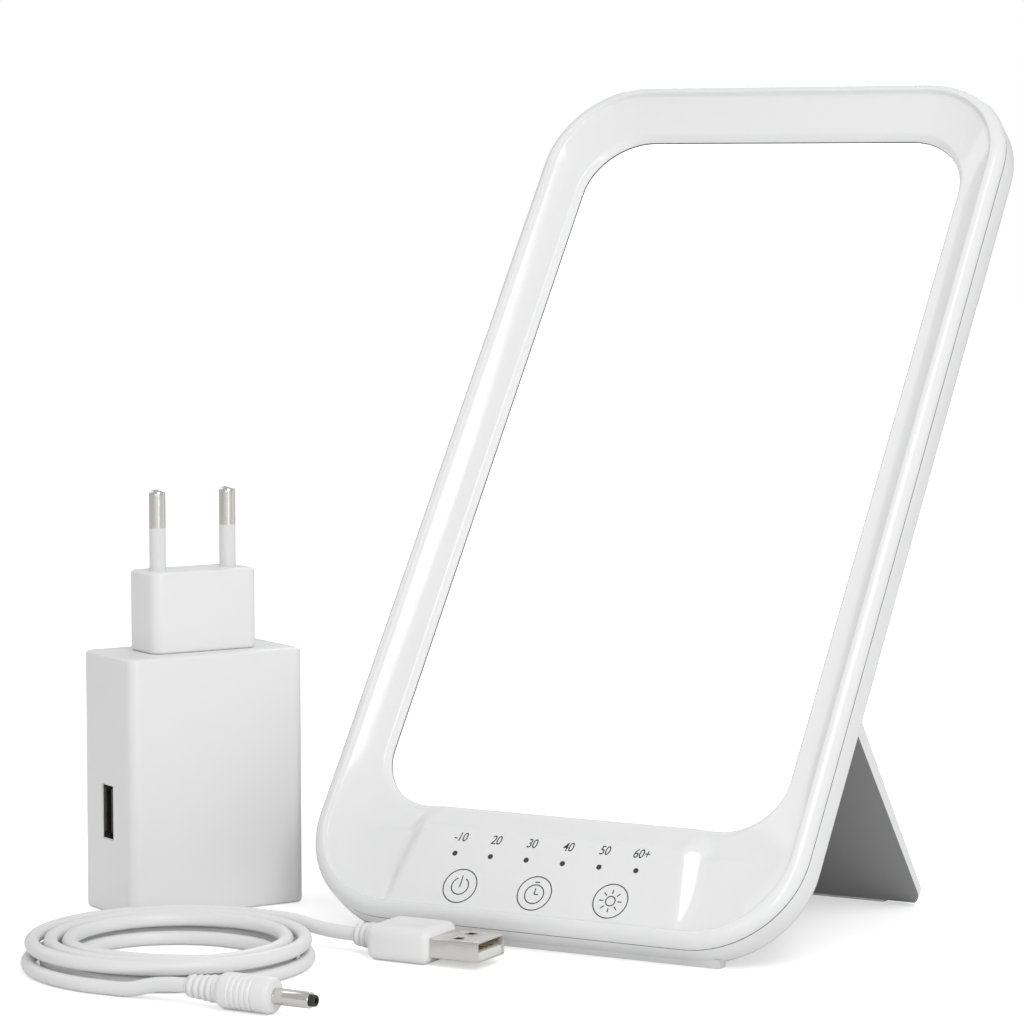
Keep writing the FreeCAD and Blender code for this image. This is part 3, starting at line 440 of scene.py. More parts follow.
def ring_points(half_width, low, high, top_radius, bottom_radius, counts):
    """Points round a rounded rectangle, anticlockwise from the right end of its bottom run."""
    across_count, up_count, corner_count = counts
    points = []
    for index in range(across_count):
        share = index / across_count
        span = half_width - bottom_radius
        points.append((span - 2 * span * share, low))
    corners = [
        (-half_width + bottom_radius, low + bottom_radius, bottom_radius, 270, -1),
        (-half_width + top_radius, high - top_radius, top_radius, 180, -1),
        (half_width - top_radius, high - top_radius, top_radius, 90, -1),
        (half_width - bottom_radius, low + bottom_radius, bottom_radius, 0, -1),
    ]
    runs = [
        ((-half_width, low + bottom_radius), (-half_width, high - top_radius), up_count),
        ((-half_width + top_radius, high), (half_width - top_radius, high), across_count),
        ((half_width, high - top_radius), (half_width, low + bottom_radius), up_count),
        None,
    ]
    for (centre_x, centre_z, radius, start, way), run in zip(corners, runs):
        for index in range(corner_count):
            angle = math.radians(start + way * 90 * index / corner_count)
            points.append((centre_x + radius * math.cos(angle), centre_z + radius * math.sin(angle)))
        if run:
            (x0, z0), (x1, z1), count = run
            for index in range(count):
                share = index / count
                points.append((x0 + (x1 - x0) * share, z0 + (z1 - z0) * share))
    return points


def inset_ring(frame_size, inset, depth, counts):
    """A ring of a rounded rectangle drawn in evenly, at one depth."""
    half_width, low, high, top_radius, bottom_radius = frame_size
    drawn = (half_width - inset, low + inset, high - inset, top_radius - inset, bottom_radius - inset)
    return [(x, depth, z) for x, z in ring_points(*drawn, counts)]


def smooth_step(value, low, high):
    share = min(max((value - low) / (high - low), 0), 1)
    return share * share * (3 - 2 * share)


def curve_through(value, stations):
    """A smooth monotone curve through (place, height) stations."""
    slopes = []
    for (x0, y0), (x1, y1) in zip(stations, stations[1:]):
        slopes.append((y1 - y0) / (x1 - x0))
    tangents = [slopes[0]]
    for before, after in zip(slopes, slopes[1:]):
        tangents.append(0 if before * after <= 0 else 2 * before * after / (before + after))
    tangents.append(slopes[-1])
    value = min(max(value, stations[0][0]), stations[-1][0])
    for index, ((x0, y0), (x1, y1)) in enumerate(zip(stations, stations[1:])):
        if value <= x1:
            gap = x1 - x0
            t = (value - x0) / gap
            return (
                (2 * t ** 3 - 3 * t ** 2 + 1) * y0 + (t ** 3 - 2 * t ** 2 + t) * gap * tangents[index]
                + (3 * t ** 2 - 2 * t ** 3) * y1 + (t ** 3 - t ** 2) * gap * tangents[index + 1]
            )


def smooth_least(first, second, reach):
    """The lower of two depths, blended where they're within reach of each other."""
    share = max(reach - abs(first - second), 0) / reach
    return min(first, second) - share * share * reach / 4


# Front bezel: gloss white ABS, injection moulded in one piece and screwed to the rear cover.
# A rolled rim runs round it, then a dished face that falls to the window, with the control field raised.
# Its skin is laid out as rings of points between the outer edge and the window, each set to its depth.
edge_roll = 3.0
rim_crest = 3.0
rim_foot = 3.6
bezel_side = 3.3
seam_reach = 0.12
window_depth = 5.65
lip_back = 6.65
painted_shade_depth = 6.2
bezel_wall = 1.8
window_frame = (51.0, 30.2, 220.7, 16.0, 14.0)
outer_corner = 24.0
outer_frame = (panel_half_width, 0.0, panel_height, outer_corner, outer_corner)
back_frame = (60.2, 1.8, 233.2, 22.2, 22.2)
field_face = 0.56
field_top = 22.8
field_top_half = 33.0
field_low_half = 37.0
field_slope = 0.62
dish_profile = [
    (0.0, 5.65), (0.08, 4.55), (0.11, 4.3), (0.2, 4.0), (0.35, 3.55), (0.5, 3.05), (0.64, 2.5), (0.82, 1.7),
    (0.92, 1.2), (1.0, 0.75),
]
board_clear_depth = 2.6
board_clear_height = 22.0


def bezel_depth(x, z):
    inside = -frame_distance(x, z, *outer_frame)
    beyond = max(frame_distance(x, z, *window_frame), 0)
    if inside < edge_roll:
        return edge_roll - math.sqrt(max(edge_roll ** 2 - (edge_roll - inside) ** 2, 0))
    share = beyond / max(beyond + inside - rim_crest, 1e-6) if inside > rim_crest else 1.0
    dished = curve_through(share, dish_profile) * smooth_step(inside, rim_crest, rim_foot)
    over_board = board_clear_depth + 1.2 * max(z - board_clear_height, 0)
    dished = smooth_least(dished, over_board, 0.8)
    lean_in = (field_low_half - field_top_half) / field_top
    side_gap = (abs(x) - (field_low_half - lean_in * z)) / math.hypot(1, lean_in)
    top_gap = z - field_top
    if side_gap > 0 and top_gap > 0:
        away = math.hypot(side_gap, top_gap)
    else:
        away = max(side_gap, top_gap)
    raised = field_face + field_slope * max(away, 0)
    return smooth_least(dished, raised, 0.4)


ring_counts = (96, 80, 18)
ring_shares = [
    0.01, 0.022, 0.036, 0.05, 0.065, 0.08, 0.095, 0.11, 0.125, 0.14, 0.165, 0.19, 0.215,
    0.24, 0.265, 0.29, 0.315, 0.34, 0.37, 0.4, 0.44, 0.48, 0.52, 0.56, 0.6, 0.64,
    0.68, 0.72, 0.76, 0.8, 0.83, 0.855, 0.875, 0.89, 0.905, 0.925, 0.95, 0.975, 1.0,
]
roll_ring = ring_points(
    panel_half_width - edge_roll, edge_roll, panel_height - edge_roll,
    outer_corner - edge_roll, outer_corner - edge_roll, ring_counts,
)
window_ring = ring_points(*window_frame, ring_counts)
skin_rings = []
roll_steps = 9
for inset, depth in ((0.22, bezel_side), (0.07, bezel_side - 0.06), (0.0, bezel_side - 0.24)):
    skin_rings.append(inset_ring(outer_frame, inset, depth, ring_counts))
for step in range(roll_steps + 1):
    turn = math.pi / 2 * step / roll_steps
    inset = edge_roll * (1 - math.cos(turn))
    skin_rings.append(inset_ring(outer_frame, inset, edge_roll * (1 - math.sin(turn)), ring_counts))
for share in ring_shares:
    ring = []
    for (x0, z0), (x1, z1) in zip(roll_ring, window_ring):
        x, z = x0 + (x1 - x0) * share, z0 + (z1 - z0) * share
        ring.append((x, bezel_depth(x, z), z))
    skin_rings.append(ring)
for inset, depth in (
    (0.03, window_depth + 0.08), (0.12, window_depth + 0.2), (0.15, painted_shade_depth), (0.15, lip_back),
):
    skin_rings.append(inset_ring(window_frame, inset, depth, ring_counts))
for share in (0.9, 0.7, 0.5, 0.3, 0.1):
    ring = []
    for (x0, z0), (x1, z1) in zip(ring_points(*back_frame, ring_counts), window_ring):
        x, z = x0 + (x1 - x0) * share, z0 + (z1 - z0) * share
        ring.append((x, min(bezel_depth(x, z) + bezel_wall, lip_back), z))
    skin_rings.append(ring)
skin_rings.append([(x, bezel_side, z) for x, z in ring_points(*back_frame, ring_counts)])


def ring_mesh(name, rings, closed=True):
    """A skin of four-sided faces over rings of points in millimetres. closed joins the last to the first."""
    mesh = bpy.data.meshes.new(name)
    count = len(rings[0])
    corners = [Vector(point) * MM for ring in rings for point in ring]
    faces = []
    spans = len(rings) if closed else len(rings) - 1
    for row in range(spans):
        below = row * count
        above = (row + 1) % len(rings) * count
        for index in range(count):
            following = (index + 1) % count
            faces.append((below + index, below + following, above + following, above + index))
    mesh.from_pydata(corners, [], faces)
    mesh.update()
    piece = bpy.data.objects.new(name, mesh)
    bpy.context.collection.objects.link(piece)
    only(piece)
    bpy.ops.object.mode_set(mode="EDIT")
    bpy.ops.mesh.select_all(action="SELECT")
    bpy.ops.mesh.normals_make_consistent(inside=False)
    bpy.ops.object.mode_set(mode="OBJECT")
    bpy.ops.object.shade_smooth_by_angle(angle=math.radians(40))
    return piece


white_abs = moulded("gloss_white_abs", (0.84, 0.84, 0.845), 0.09, 0.12, 0.03)
gap_painted_shade = moulded("painted_shade_in_gaps", (0.10, 0.10, 0.10), 0.8, 0.1, 0.3)
bezel = ring_mesh("bezel", skin_rings)
dress(bezel, white_abs)
bezel.data.materials.append(gap_painted_shade)
# Painted shade: the back of the window lip and the faces at the parting line take the dark grey, for the
# shadow in these gaps.
for face in bezel.data.polygons:
    x, y, z = face.center / MM
    at_window = frame_distance(x, z, *window_frame) < -0.1 and y > painted_shade_depth
    at_parting = frame_distance(x, z, *outer_frame) > -1.9 and y > bezel_side - seam_reach
    face.material_index = 1 if at_window or at_parting else 0
place_all(bezel, on_floor)
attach(bezel, "lamp")
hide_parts("front_bezel")

# Diffuser: opal acrylic behind the window, evenly bright when the lamp is on.
# The solid plate keeps its shape and glows; its light on the room is softer than what the eye meets.
glow = bpy.data.materials.new("glowing_opal")
glow.use_nodes = True
glow_nodes = glow.node_tree.nodes
glow_links = glow.node_tree.links
glow_shader = glow_nodes["Principled BSDF"]
glow_shader.inputs["Base Color"].default_value = (0.55, 0.55, 0.55, 1)
glow_shader.inputs["Roughness"].default_value = 0.6
glow_shader.inputs["Emission Color"].default_value = (1, 1, 1, 1)
glow_place = glow_nodes.new("ShaderNodeTexCoord")
glow_mottle = glow_nodes.new("ShaderNodeTexNoise")
glow_mottle.inputs["Scale"].default_value = 14.0
glow_range = glow_nodes.new("ShaderNodeMapRange")
glow_range.inputs["To Min"].default_value = 0.97
glow_range.inputs["To Max"].default_value = 1.03
glow_path = glow_nodes.new("ShaderNodeLightPath")
glow_level = glow_nodes.new("ShaderNodeMapRange")
glow_level.inputs["To Min"].default_value = 0.3
glow_level.inputs["To Max"].default_value = 0.98
glow_strength = glow_nodes.new("ShaderNodeMath")
glow_strength.operation = "MULTIPLY"
glow_links.new(glow_place.outputs["Object"], glow_mottle.inputs["Vector"])
glow_links.new(glow_mottle.outputs["Fac"], glow_range.inputs["Value"])
glow_links.new(glow_path.outputs["Is Camera Ray"], glow_level.inputs["Value"])
glow_links.new(glow_range.outputs["Result"], glow_strength.inputs[0])
glow_links.new(glow_level.outputs["Result"], glow_strength.inputs[1])
glow_links.new(glow_strength.outputs["Value"], glow_shader.inputs["Emission Strength"])
dress_node("diffuser_plate", glow)

# Inside the panel: light guide, reflector, back plate, lamp strips, control board and socket.
# They're solid parts, mostly unseen, each in the finish of its own material.
clear_guide = moulded("clear_acrylic", (0.9, 0.92, 0.94), 0.08, 0.1, 0.05)
reflector_film = moulded("reflector_film", (0.88, 0.88, 0.88), 0.5, 0.1, 0.3)
aluminium = moulded("rolled_aluminium", (0.66, 0.67, 0.68), 0.35, 0.2, 0.6, metallic=1.0)
strip_board = moulded("white_strip_board", (0.75, 0.76, 0.74), 0.45, 0.1, 0.2)
led_yellow = moulded("led_phosphor", (0.78, 0.66, 0.22), 0.4, 0.1, 0.2)
board_green = moulded("green_solder_mask", (0.04, 0.20, 0.10), 0.3, 0.3, 0.2)
chip_black = moulded("chip_epoxy", (0.03, 0.03, 0.03), 0.45, 0.1, 0.4)
foam_grey = moulded("conductive_foam", (0.16, 0.16, 0.17), 0.85, 0.4, 1.2)
smoked = moulded("smoked_window", (0.012, 0.012, 0.012), 0.18, 0.1, 0.05)
wire_red = moulded("wire_insulation", (0.55, 0.07, 0.05), 0.4, 0.1, 0.1)
screw_steel = moulded("zinc_screw_steel", (0.62, 0.62, 0.60), 0.3, 0.2, 0.5, metallic=1.0)
soft_rubber = moulded("pale_silicone", (0.80, 0.80, 0.80), 0.6, 0.3, 0.6)
for node, material in {
    "light_guide": clear_guide, "reflector_sheet": reflector_film, "back_plate": aluminium,
    "led_boards": strip_board, "strip_leds": led_yellow, "control_board": board_green,
    "control_chips": chip_black, "touch_pads": foam_grey, "indicator_leds": led_yellow,
    "indicator_windows": smoked, "jack_body": plug_black, "jack_pin": nickel, "jack_spring": nickel,
    "jack_wires": wire_red, "led_wires": wire_red, "case_screws": screw_steel, "base_strip": soft_rubber,
    "stand_foot_strip": soft_rubber, "hinge_rod": screw_steel, "friction_washers": screw_steel,
}.items():
    dress_node(node, material)

# Rear cover: gloss white ABS tray that closes the panel from behind, parted from the bezel by a fine line.
# Its skin is rings from the parting line round the rolled edge to a raised back; then the recess for the
# stand, the screw wells, the socket's hole and the strip's seat are cut, and the two hinge ears welded on.
parting = bezel_side + 0.15
cover_back = 12.0
plateau_back = 15.6
plateau_frame = (58.5, 5.0, 221.0, 20.5, 20.5)
plateau_roll = 1.2
plateau_steps = 5
cover_counts = (40, 48, 16)
cover_rings = []
for depth in (11.0, parting):
    cover_rings.append(inset_ring(outer_frame, bezel_wall, depth, cover_counts))
for inset, depth in ((0.22, parting), (0.07, parting + 0.06), (0.0, parting + 0.24)):
    cover_rings.append(inset_ring(outer_frame, inset, depth, cover_counts))
for step in range(roll_steps + 1):
    turn = math.pi / 2 * step / roll_steps
    inset = edge_roll * (1 - math.cos(turn))
    depth = cover_back - edge_roll * (1 - math.sin(turn))
    cover_rings.append(inset_ring(outer_frame, inset, depth, cover_counts))
for inset, depth in ((-0.25, cover_back), (-0.06, cover_back + 0.08), (0.0, cover_back + 0.3)):
    cover_rings.append(inset_ring(plateau_frame, inset, depth, cover_counts))
for step in range(plateau_steps + 1):
    turn = math.pi / 2 * step / plateau_steps
    inset = plateau_roll * (1 - math.cos(turn))
    depth = plateau_back - plateau_roll * (1 - math.sin(turn))
    cover_rings.append(inset_ring(plateau_frame, inset, depth, cover_counts))
cover = ring_mesh("cover", cover_rings, closed=False)
only(cover)
bpy.ops.object.mode_set(mode="EDIT")
bpy.ops.mesh.select_all(action="SELECT")
bpy.ops.mesh.fill_holes(sides=0)
bpy.ops.mesh.normals_make_consistent(inside=False)
bpy.ops.object.mode_set(mode="OBJECT")

hinge_height = 69.0
hinge_depth = 13.75
knuckle_radius = 1.9
recess_depth = 11.6
open_angle = math.radians(77.0)
ear_places = (-23.0, 23.0)
screw_places = ((-44.0, 228.2), (44.0, 228.2), (-50.0, 11.0), (50.0, 11.0))


def stop_height(depth):
    """Height of the sloping wall above the hinge that the opened stand rests against."""
    offset = knuckle_radius + 0.25
    return hinge_height + (offset - math.cos(open_angle) * (depth - hinge_depth)) / math.sin(open_angle)


def prism_tool(name, section, low_x, high_x):
    """A prism along x over a section of (z, y) points in millimetres."""
    mesh = bpy.data.meshes.new(name)
    corners = [Vector((x, y, z)) * MM for x in (low_x, high_x) for z, y in section]
    count = len(section)
    faces = [tuple(range(count)), tuple(range(2 * count - 1, count - 1, -1))]
    for index in range(count):
        following = (index + 1) % count
        faces.append((index, index + count, following + count, following))
    mesh.from_pydata(corners, [], faces)
    tool = bpy.data.objects.new(name, mesh)
    bpy.context.collection.objects.link(tool)
    only(tool)
    bpy.ops.object.mode_set(mode="EDIT")
    bpy.ops.mesh.select_all(action="SELECT")
    bpy.ops.mesh.normals_make_consistent(inside=False)
    bpy.ops.object.mode_set(mode="OBJECT")
    return tool


def rod_tool(radius, start, end, sides=32):
    """A plain cylinder between two points in millimetres."""
    start, end = Vector(start), Vector(end)
    bpy.ops.object.select_all(action="DESELECT")
    bpy.ops.mesh.primitive_cylinder_add(
        vertices=sides, radius=radius * MM, depth=(end - start).length * MM, location=(start + end) / 2 * MM,
        rotation=(end - start).to_track_quat("Z", "Y").to_euler(),
    )
    tool = bpy.context.object
    only(tool)
    bpy.ops.object.transform_apply(location=True, rotation=True, scale=True)
    return tool


hollow = rounded_block(
    "hollow", Vector((-56.5, 10.0, 76.0)), Vector((56.5, 14.0, 219.2)), 18.5, 12, along=Vector((0, 1, 0)),
)
carve(cover, hollow)
recess_section = [
    (-3, recess_depth), (stop_height(recess_depth), recess_depth), (stop_height(20), 20), (-3, 20),
]
carve(cover, prism_tool("recess", recess_section, -56.5, 56.5))
for x in ear_places:
    ear = rod_tool(knuckle_radius, (x - 3, hinge_depth, hinge_height), (x + 3, hinge_depth, hinge_height), 40)
    post = rounded_block(
        "post", Vector((x - 3, recess_depth - 0.3, hinge_height - knuckle_radius)),
        Vector((x + 3, hinge_depth, hinge_height + knuckle_radius)), 0.1, 1,
    )
    carve(ear, post, "UNION")
    carve(cover, ear, "UNION")
    carve(cover, rod_tool(1.05, (x - 5, hinge_depth, hinge_height), (x + 5, hinge_depth, hinge_height)))
for x, z in screw_places:
    carve(cover, rod_tool(2.1, (x, 10.3, z), (x, 17.0, z)))
    carve(cover, rod_tool(2.5, (x, 11.7, z), (x, 12.6, z)))
carve(cover, rod_tool(2.9, (-64.0, 7.5, 20.5), (-57.0, 7.5, 20.5), 48))
strip_seat = rounded_block("strip_seat", Vector((-45.0, -2.2, 0.0)), Vector((45.0, 0.9, 2.0)), 0.1, 1)
place_all(strip_seat, on_floor.inverted())
carve(cover, strip_seat)
only(cover)
bpy.ops.object.shade_smooth_by_angle(angle=math.radians(30))
dress(cover, white_abs)
cover.data.materials.append(gap_painted_shade)
# Painted shade: the faces at the parting line take the dark grey, for the shadow in the fine gap.
for face in cover.data.polygons:
    at_parting = frame_distance(face.center.x / MM, face.center.z / MM, *outer_frame) > -1.75
    face.material_index = 1 if at_parting and face.center.y < (parting + seam_reach) * MM else 0
place_all(cover, on_floor)
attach(cover, "lamp")
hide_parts("rear_cover")

# Printed marks: pale grey screen print on the control field, a hair's breadth proud of it.
# Six times in slanting figures over their dots, and ringed symbols for power, timer and brightness.
ink = moulded("grey_ink", (0.045, 0.045, 0.05), 0.6, 0.1, 0.1)
ink_lift = 0.012
ink_thickness = 0.02
dot_spacing = 9.17
dot_height = 16.5
key_spacing = 19.0
key_height = 8.6
key_radius = 4.15
marks = []


def lay_mark(mark, x, z):
    """Turn a flat mark upright, put it at its place and let it follow the field's surface."""
    place_all(mark, Matrix.Translation(Vector((x, 0, z)) * MM) @ Matrix.Rotation(math.pi / 2, 4, "X"))
    for vertex in mark.data.vertices:
        vertex.co.y += (bezel_depth(vertex.co.x / MM, vertex.co.z / MM) - ink_lift) * MM
    place_all(mark, on_floor)
    marks.append(mark)


def add_mark(name, outlines, x, z):
    """A mark from closed outlines of (across, up) points; inner ones are holes."""
    curve = bpy.data.curves.new(name, "CURVE")
    curve.dimensions = "2D"
    curve.fill_mode = "BOTH"
    curve.extrude = ink_thickness / 2 * MM
    for outline in outlines:
        spline = curve.splines.new("POLY")
        spline.points.add(len(outline) - 1)
        for point, (across, up) in zip(spline.points, outline):
            point.co = (across * MM, up * MM, 0, 1)
        spline.use_cyclic_u = True
    mark = bpy.data.objects.new(name, curve)
    bpy.context.collection.objects.link(mark)
    only(mark)
    bpy.ops.object.convert(target="MESH")
    mark = bpy.context.object
    lay_mark(mark, x, z)


def circle(radius, centre=(0, 0), sides=64):
    turns = [2 * math.pi * index / sides for index in range(sides)]
    return [(centre[0] + radius * math.cos(turn), centre[1] + radius * math.sin(turn)) for turn in turns]


def arc_band(radius, width, start, end, sides=40):
    """A stretch of ring between two angles in degrees."""
    turns = [math.radians(start + (end - start) * index / sides) for index in range(sides + 1)]
    outer = [((radius + width / 2) * math.cos(turn), (radius + width / 2) * math.sin(turn)) for turn in turns]
    inner = [((radius - width / 2) * math.cos(turn), (radius - width / 2) * math.sin(turn)) for turn in turns]
    return outer + inner[::-1]


def stroke(start, end, width):
    """A straight line of print between two points."""
    along = (Vector(end) - Vector(start)).normalized()
    side = Vector((-along.y, along.x)) * width / 2
    corners = (Vector(start) + side, Vector(end) + side, Vector(end) - side, Vector(start) - side)
    return [(corner.x, corner.y) for corner in corners]


line = 0.26
for index, label in enumerate(("-10", "20", "30", "40", "50", "60+")):
    text = bpy.data.curves.new("figure", "FONT")
    text.body = label
    text.size = 3.15 * MM
    text.shear = 0.22
    text.space_character = 0.95
    text.align_x = "CENTER"
    text.align_y = "CENTER"
    text.extrude = ink_thickness / 2 * MM
    text.offset = 0.00001
    figure = bpy.data.objects.new(f"figure_{index}", text)
    bpy.context.collection.objects.link(figure)
    only(figure)
    bpy.ops.object.convert(target="MESH")
    figure = bpy.context.object
    figure.data.transform(Matrix.Diagonal((0.86, 1.0, 1.0, 1.0)))
    lay_mark(figure, (index - 2.5) * dot_spacing + 0.15, dot_height + 4.1)
    add_mark(f"dot_{index}", [circle(0.64, sides=32)], (index - 2.5) * dot_spacing, dot_height)
for x in (-key_spacing, 0, key_spacing):
    outlines = [circle(key_radius + line / 2, sides=96), circle(key_radius - line / 2, sides=96)]
    add_mark("key_ring", outlines, x, key_height)
add_mark("power_arc", [arc_band(2.1, line, 118, 422)], -key_spacing, key_height)
add_mark("power_stem", [stroke((0, -0.4), (0, 2.6), line)], -key_spacing, key_height)
add_mark("timer_face", [circle(2.3 + line / 2), circle(2.3 - line / 2)], 0, key_height - 0.2)
add_mark("timer_hand", [stroke((0, -0.15), (0, 1.45), line)], 0, key_height - 0.2)
add_mark("timer_short_hand", [stroke((-0.13, 0), (1.0, 0), line)], 0, key_height - 0.2)
add_mark("timer_knob", [stroke((-0.6, 2.95), (0.6, 2.95), line)], 0, key_height - 0.2)
add_mark("sun_disc", [circle(1.15 + line / 2), circle(1.15 - line / 2)], key_spacing, key_height)
for index in range(8):
    turn = math.pi / 4 * index
    way = Vector((math.cos(turn), math.sin(turn)))
    add_mark(f"sun_ray_{index}", [stroke(way * 1.75, way * 2.75, line)], key_spacing, key_height)
bpy.ops.object.select_all(action="DESELECT")
for mark in marks:
    mark.select_set(True)
bpy.context.view_layer.objects.active = marks[0]
bpy.ops.object.join()
printed_marks = bpy.context.object
printed_marks.name = "printed_marks"
dress(printed_marks, ink)
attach(printed_marks, "lamp")

# Stand: one ABS plate with rounded lower corners, white outside, with a textured inner face. The inner face
# and the foot are grey: painted shade for the side turned from the lights.
# It's made folded, thinning to its free edge, cut off level with the floor, and then swung open.
stand_half_width = 56.0
stand_taper = 1.8
stand_inner = hinge_depth - knuckle_radius
stand_outer = hinge_depth + knuckle_radius
stand_reach = 80.0
foot_thickness = 0.6
hinge_line = Vector((0, hinge_depth, hinge_height)) * MM
swing_open = (
    on_floor @ Matrix.Translation(hinge_line) @ Matrix.Rotation(open_angle, 4, "X")
    @ Matrix.Translation(-hinge_line)
)
stand_section = [
    (hinge_height, stand_inner), (hinge_height - stand_reach, stand_inner),
    (hinge_height - stand_reach, stand_outer - stand_taper * stand_reach / 70.0), (hinge_height, stand_outer),
]
stand = prism_tool("stand", stand_section, -stand_half_width, stand_half_width)
only(stand)
bpy.ops.object.mode_set(mode="EDIT")
bpy.ops.mesh.select_all(action="SELECT")
floor_point = swing_open.inverted() @ Vector((0, 0, foot_thickness * MM))
floor_way = swing_open.inverted().to_3x3() @ Vector((0, 0, 1))
bpy.ops.mesh.bisect(plane_co=floor_point, plane_no=floor_way, use_fill=True, clear_inner=True)
bpy.ops.object.mode_set(mode="OBJECT")
stand.data.update()
low_line = min(vertex.co.z for vertex in stand.data.vertices) / MM
corner_tool = rounded_block(
    "corner_tool", Vector((-stand_half_width, 0, low_line)),
    Vector((stand_half_width, 20, hinge_height + 20)), 6.0, 10, along=Vector((0, 1, 0)),
)
carve(stand, corner_tool, "INTERSECT")
soften(stand, 0.3, 3, 40)
knuckle = rod_tool(
    knuckle_radius, (-stand_half_width, hinge_depth, hinge_height),
    (stand_half_width, hinge_depth, hinge_height), 48,
)
carve(stand, knuckle, "UNION")
for x in ear_places:
    notch = rounded_block(
        "notch", Vector((x - 3.4, 0, hinge_height - 3)), Vector((x + 3.4, 20, hinge_height + 3)), 0.1, 1,
    )
    carve(stand, notch)
carve(stand, rod_tool(1.0, (-42, hinge_depth, hinge_height), (42, hinge_depth, hinge_height)))
only(stand)
bpy.ops.object.shade_smooth_by_angle(angle=math.radians(35))
stand_painted_shade = moulded("textured_abs_painted_shade", (0.30, 0.30, 0.305), 0.45, 0.3, 0.9)
stand.data.materials.append(white_abs)
stand.data.materials.append(stand_painted_shade)
# Painted shade: the inner face below the knuckle and the down-facing foot take the grey, for the shade they
# lie in once opened.
for face in stand.data.polygons:
    inner = face.normal.y < -0.9 and face.center.z < (hinge_height - 2.0) * MM
    face.material_index = 1 if inner or face.normal.z < -0.6 else 0
place_all(stand, swing_open)
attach(stand, "stand")
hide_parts("stand_panel")

# Wall adapter: a white polycarbonate block with a narrow plug block on top and two round mains pins.
# Each moulding is a block with rounded uprights and softened rims; the USB mouth is cut in a narrow face.
adapter_size = Vector((46.0, 25.0, 61.0))
pin_offset = 9.3
beside_lamp = Matrix.Translation(Vector((-97.0, 7.0, 0)) * MM) @ Matrix.Rotation(math.radians(61.5), 4, "Z")
upright = Vector((0, 0, 1))
adapter_white = moulded("adapter_white", (0.82, 0.82, 0.82), 0.26, 0.3, 0.1)
adapter_half = adapter_size / 2
adapter_case = rounded_block(
    "adapter_case", Vector((-adapter_half.x, -adapter_half.y, 0)),
    Vector((adapter_half.x, adapter_half.y, adapter_size.z)), 2.5, 8, along=upright,
)
soften(adapter_case, 0.9, 4, 60)
plate_seam = rounded_block(
    "plate_seam", Vector((-adapter_half.x + 1.5, -adapter_half.y + 1.5, -1)),
    Vector((adapter_half.x - 1.5, adapter_half.y - 1.5, 2.1)), 1.2, 5, along=upright,
)
carve(adapter_case, plate_seam)
carve(adapter_case, rounded_block(
    "adapter_room", Vector((-21.0, -10.5, 2.0)), Vector((21.0, 10.5, 59.0)), 1.5, 3, along=upright,
))
carve(adapter_case, rounded_block(
    "usb_mouth", Vector((-24.0, -2.9, 17.4)), Vector((-11.0, 2.9, 30.6)), 0.25, 2, along=Vector((1, 0, 0)),
))
plug_block = rounded_block(
    "plug_block", Vector((-14.0, -7.0, adapter_size.z)), Vector((14.0, 7.0, 80.0)), 3.0, 8, along=upright,
)
soften(plug_block, 0.8, 4, 60)
for x in (-pin_offset, pin_offset):
    carve(plug_block, rod_tool(1.5, (x, 0, 72.0), (x, 0, 81.0)))
for piece, node in ((adapter_case, "adapter_case"), (plug_block, "adapter_plug_block")):
    only(piece)
    bpy.ops.object.shade_smooth_by_angle(angle=math.radians(35))
    place_all(piece, beside_lamp)
    dress(piece, adapter_white)
    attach(piece, "power_adapter")
    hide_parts(node)
sleeve_white = moulded("sleeve_white", (0.75, 0.75, 0.75), 0.35, 0.2, 0.2)
capacitor_sleeve = moulded("capacitor_sleeve", (0.03, 0.05, 0.11), 0.3, 0.1, 0.1)
for node, material in {
    "adapter_base_plate": adapter_white, "adapter_pins": nickel, "adapter_pin_sleeves": sleeve_white,
    "adapter_usb_shell": nickel, "adapter_usb_tongue": plug_black, "adapter_usb_contacts": contact_gold,
    "adapter_board": board_green, "adapter_transformer": chip_black, "adapter_capacitors": capacitor_sleeve,
}.items():
    dress_node(node, material)

# Studio floor: pale and matt, bright enough near the lamp to read as white paper with soft shadows on it.
# A glow that only the eye meets grows with distance, so the paper runs into the white surround.
bpy.ops.object.select_all(action="DESELECT")
bpy.ops.mesh.primitive_plane_add(size=8)
floor = bpy.context.object
floor.name = "studio_floor"
floor_material = bpy.data.materials.new("pale_floor")
floor_material.use_nodes = True
floor_nodes = floor_material.node_tree.nodes
floor_links = floor_material.node_tree.links
floor_shader = floor_nodes["Principled BSDF"]
floor_shader.inputs["Base Color"].default_value = (0.88, 0.88, 0.88, 1)
floor_shader.inputs["Roughness"].default_value = 0.9
floor_shader.inputs["Specular IOR Level"].default_value = 0.1
floor_shader.inputs["Emission Color"].default_value = (1, 1, 1, 1)
floor_place = floor_nodes.new("ShaderNodeTexCoord")
floor_distance = floor_nodes.new("ShaderNodeVectorMath")
floor_distance.operation = "LENGTH"
floor_fade = floor_nodes.new("ShaderNodeMapRange")
floor_fade.interpolation_type = "SMOOTHSTEP"
floor_fade.inputs["From Min"].default_value = 0.10
floor_fade.inputs["From Max"].default_value = 0.6
floor_fade.inputs["To Min"].default_value = 0.44
floor_fade.inputs["To Max"].default_value = 1.0
floor_path = floor_nodes.new("ShaderNodeLightPath")
floor_level = floor_nodes.new("ShaderNodeMath")
floor_level.operation = "MULTIPLY"
floor_links.new(floor_place.outputs["Object"], floor_distance.inputs[0])
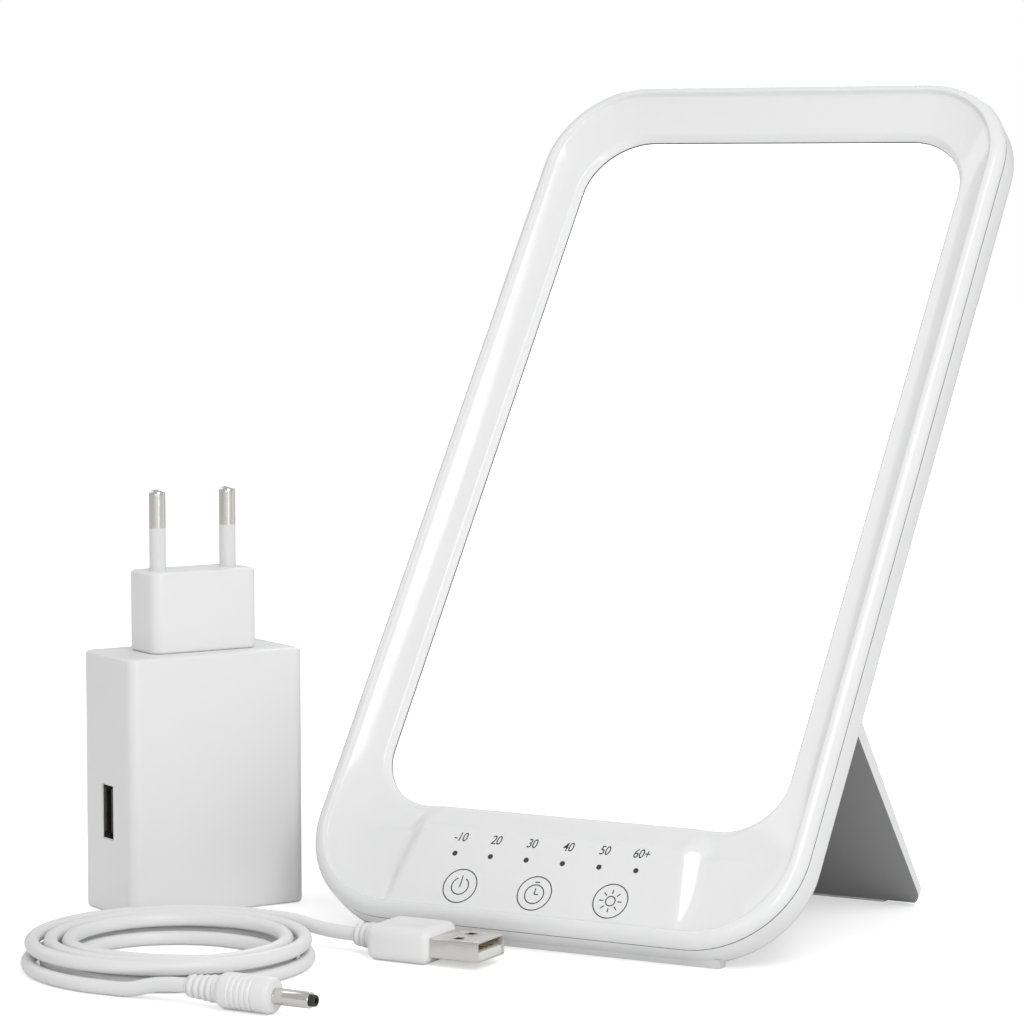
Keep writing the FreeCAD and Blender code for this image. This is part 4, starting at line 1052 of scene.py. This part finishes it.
floor_links.new(floor_distance.outputs["Value"], floor_fade.inputs["Value"])
floor_links.new(floor_fade.outputs["Result"], floor_level.inputs[0])
floor_links.new(floor_path.outputs["Is Camera Ray"], floor_level.inputs[1])
floor_links.new(floor_level.outputs["Value"], floor_shader.inputs["Emission Strength"])
dress(floor, floor_material)

# Surround: white behind everything for the eye, and a softer even fill for the light it throws.
world = bpy.data.worlds.new("white_surround")
bpy.context.scene.world = world
world.use_nodes = True
world_nodes = world.node_tree.nodes
world_links = world.node_tree.links
sky = world_nodes["Background"]
sky.inputs["Color"].default_value = (1, 1, 1, 1)
seen = world_nodes.new("ShaderNodeLightPath")
sky_level = world_nodes.new("ShaderNodeMapRange")
sky_level.inputs["To Min"].default_value = 0.55
sky_level.inputs["To Max"].default_value = 1.0
world_links.new(seen.outputs["Is Camera Ray"], sky_level.inputs["Value"])
world_links.new(sky_level.outputs["Result"], sky.inputs["Strength"])


# Lights: a broad softbox overhead and to the front, a tall strip at the left for the bright band on the rim,
# a weak one at the right that lifts the panel's side, and soft fills low in front and high behind.
def soft_light(name, place, aim, size, power):
    bpy.ops.object.select_all(action="DESELECT")
    bpy.ops.object.light_add(type="AREA", location=Vector(place))
    light = bpy.context.object
    light.name = name
    light.data.shape = "RECTANGLE"
    light.data.size, light.data.size_y = size
    light.data.energy = power
    light.rotation_euler = (Vector(place) - Vector(aim)).to_track_quat("Z", "Y").to_euler()
    return light


soft_light("top_softbox", (0.53, -0.36, 0.95), (0, 0.03, 0.08), (0.44, 0.5), 3.1)
soft_light("left_strip", (-0.82, 0.05, 0.68), (0, 0.05, 0.1), (0.34, 0.6), 0.9)
soft_light("right_strip", (0.7, -0.6, 0.4), (0, 0.05, 0.1), (0.3, 0.7), 1.8)
soft_light("front_fill", (0.3, -1.1, 0.3), (0, 0, 0.06), (0.6, 0.4), 0.9)
soft_light("back_fill", (-0.3, 0.95, 0.75), (0, 0.05, 0.1), (0.6, 0.5), 2.8)

bpy.context.scene.view_settings.view_transform = "Standard"
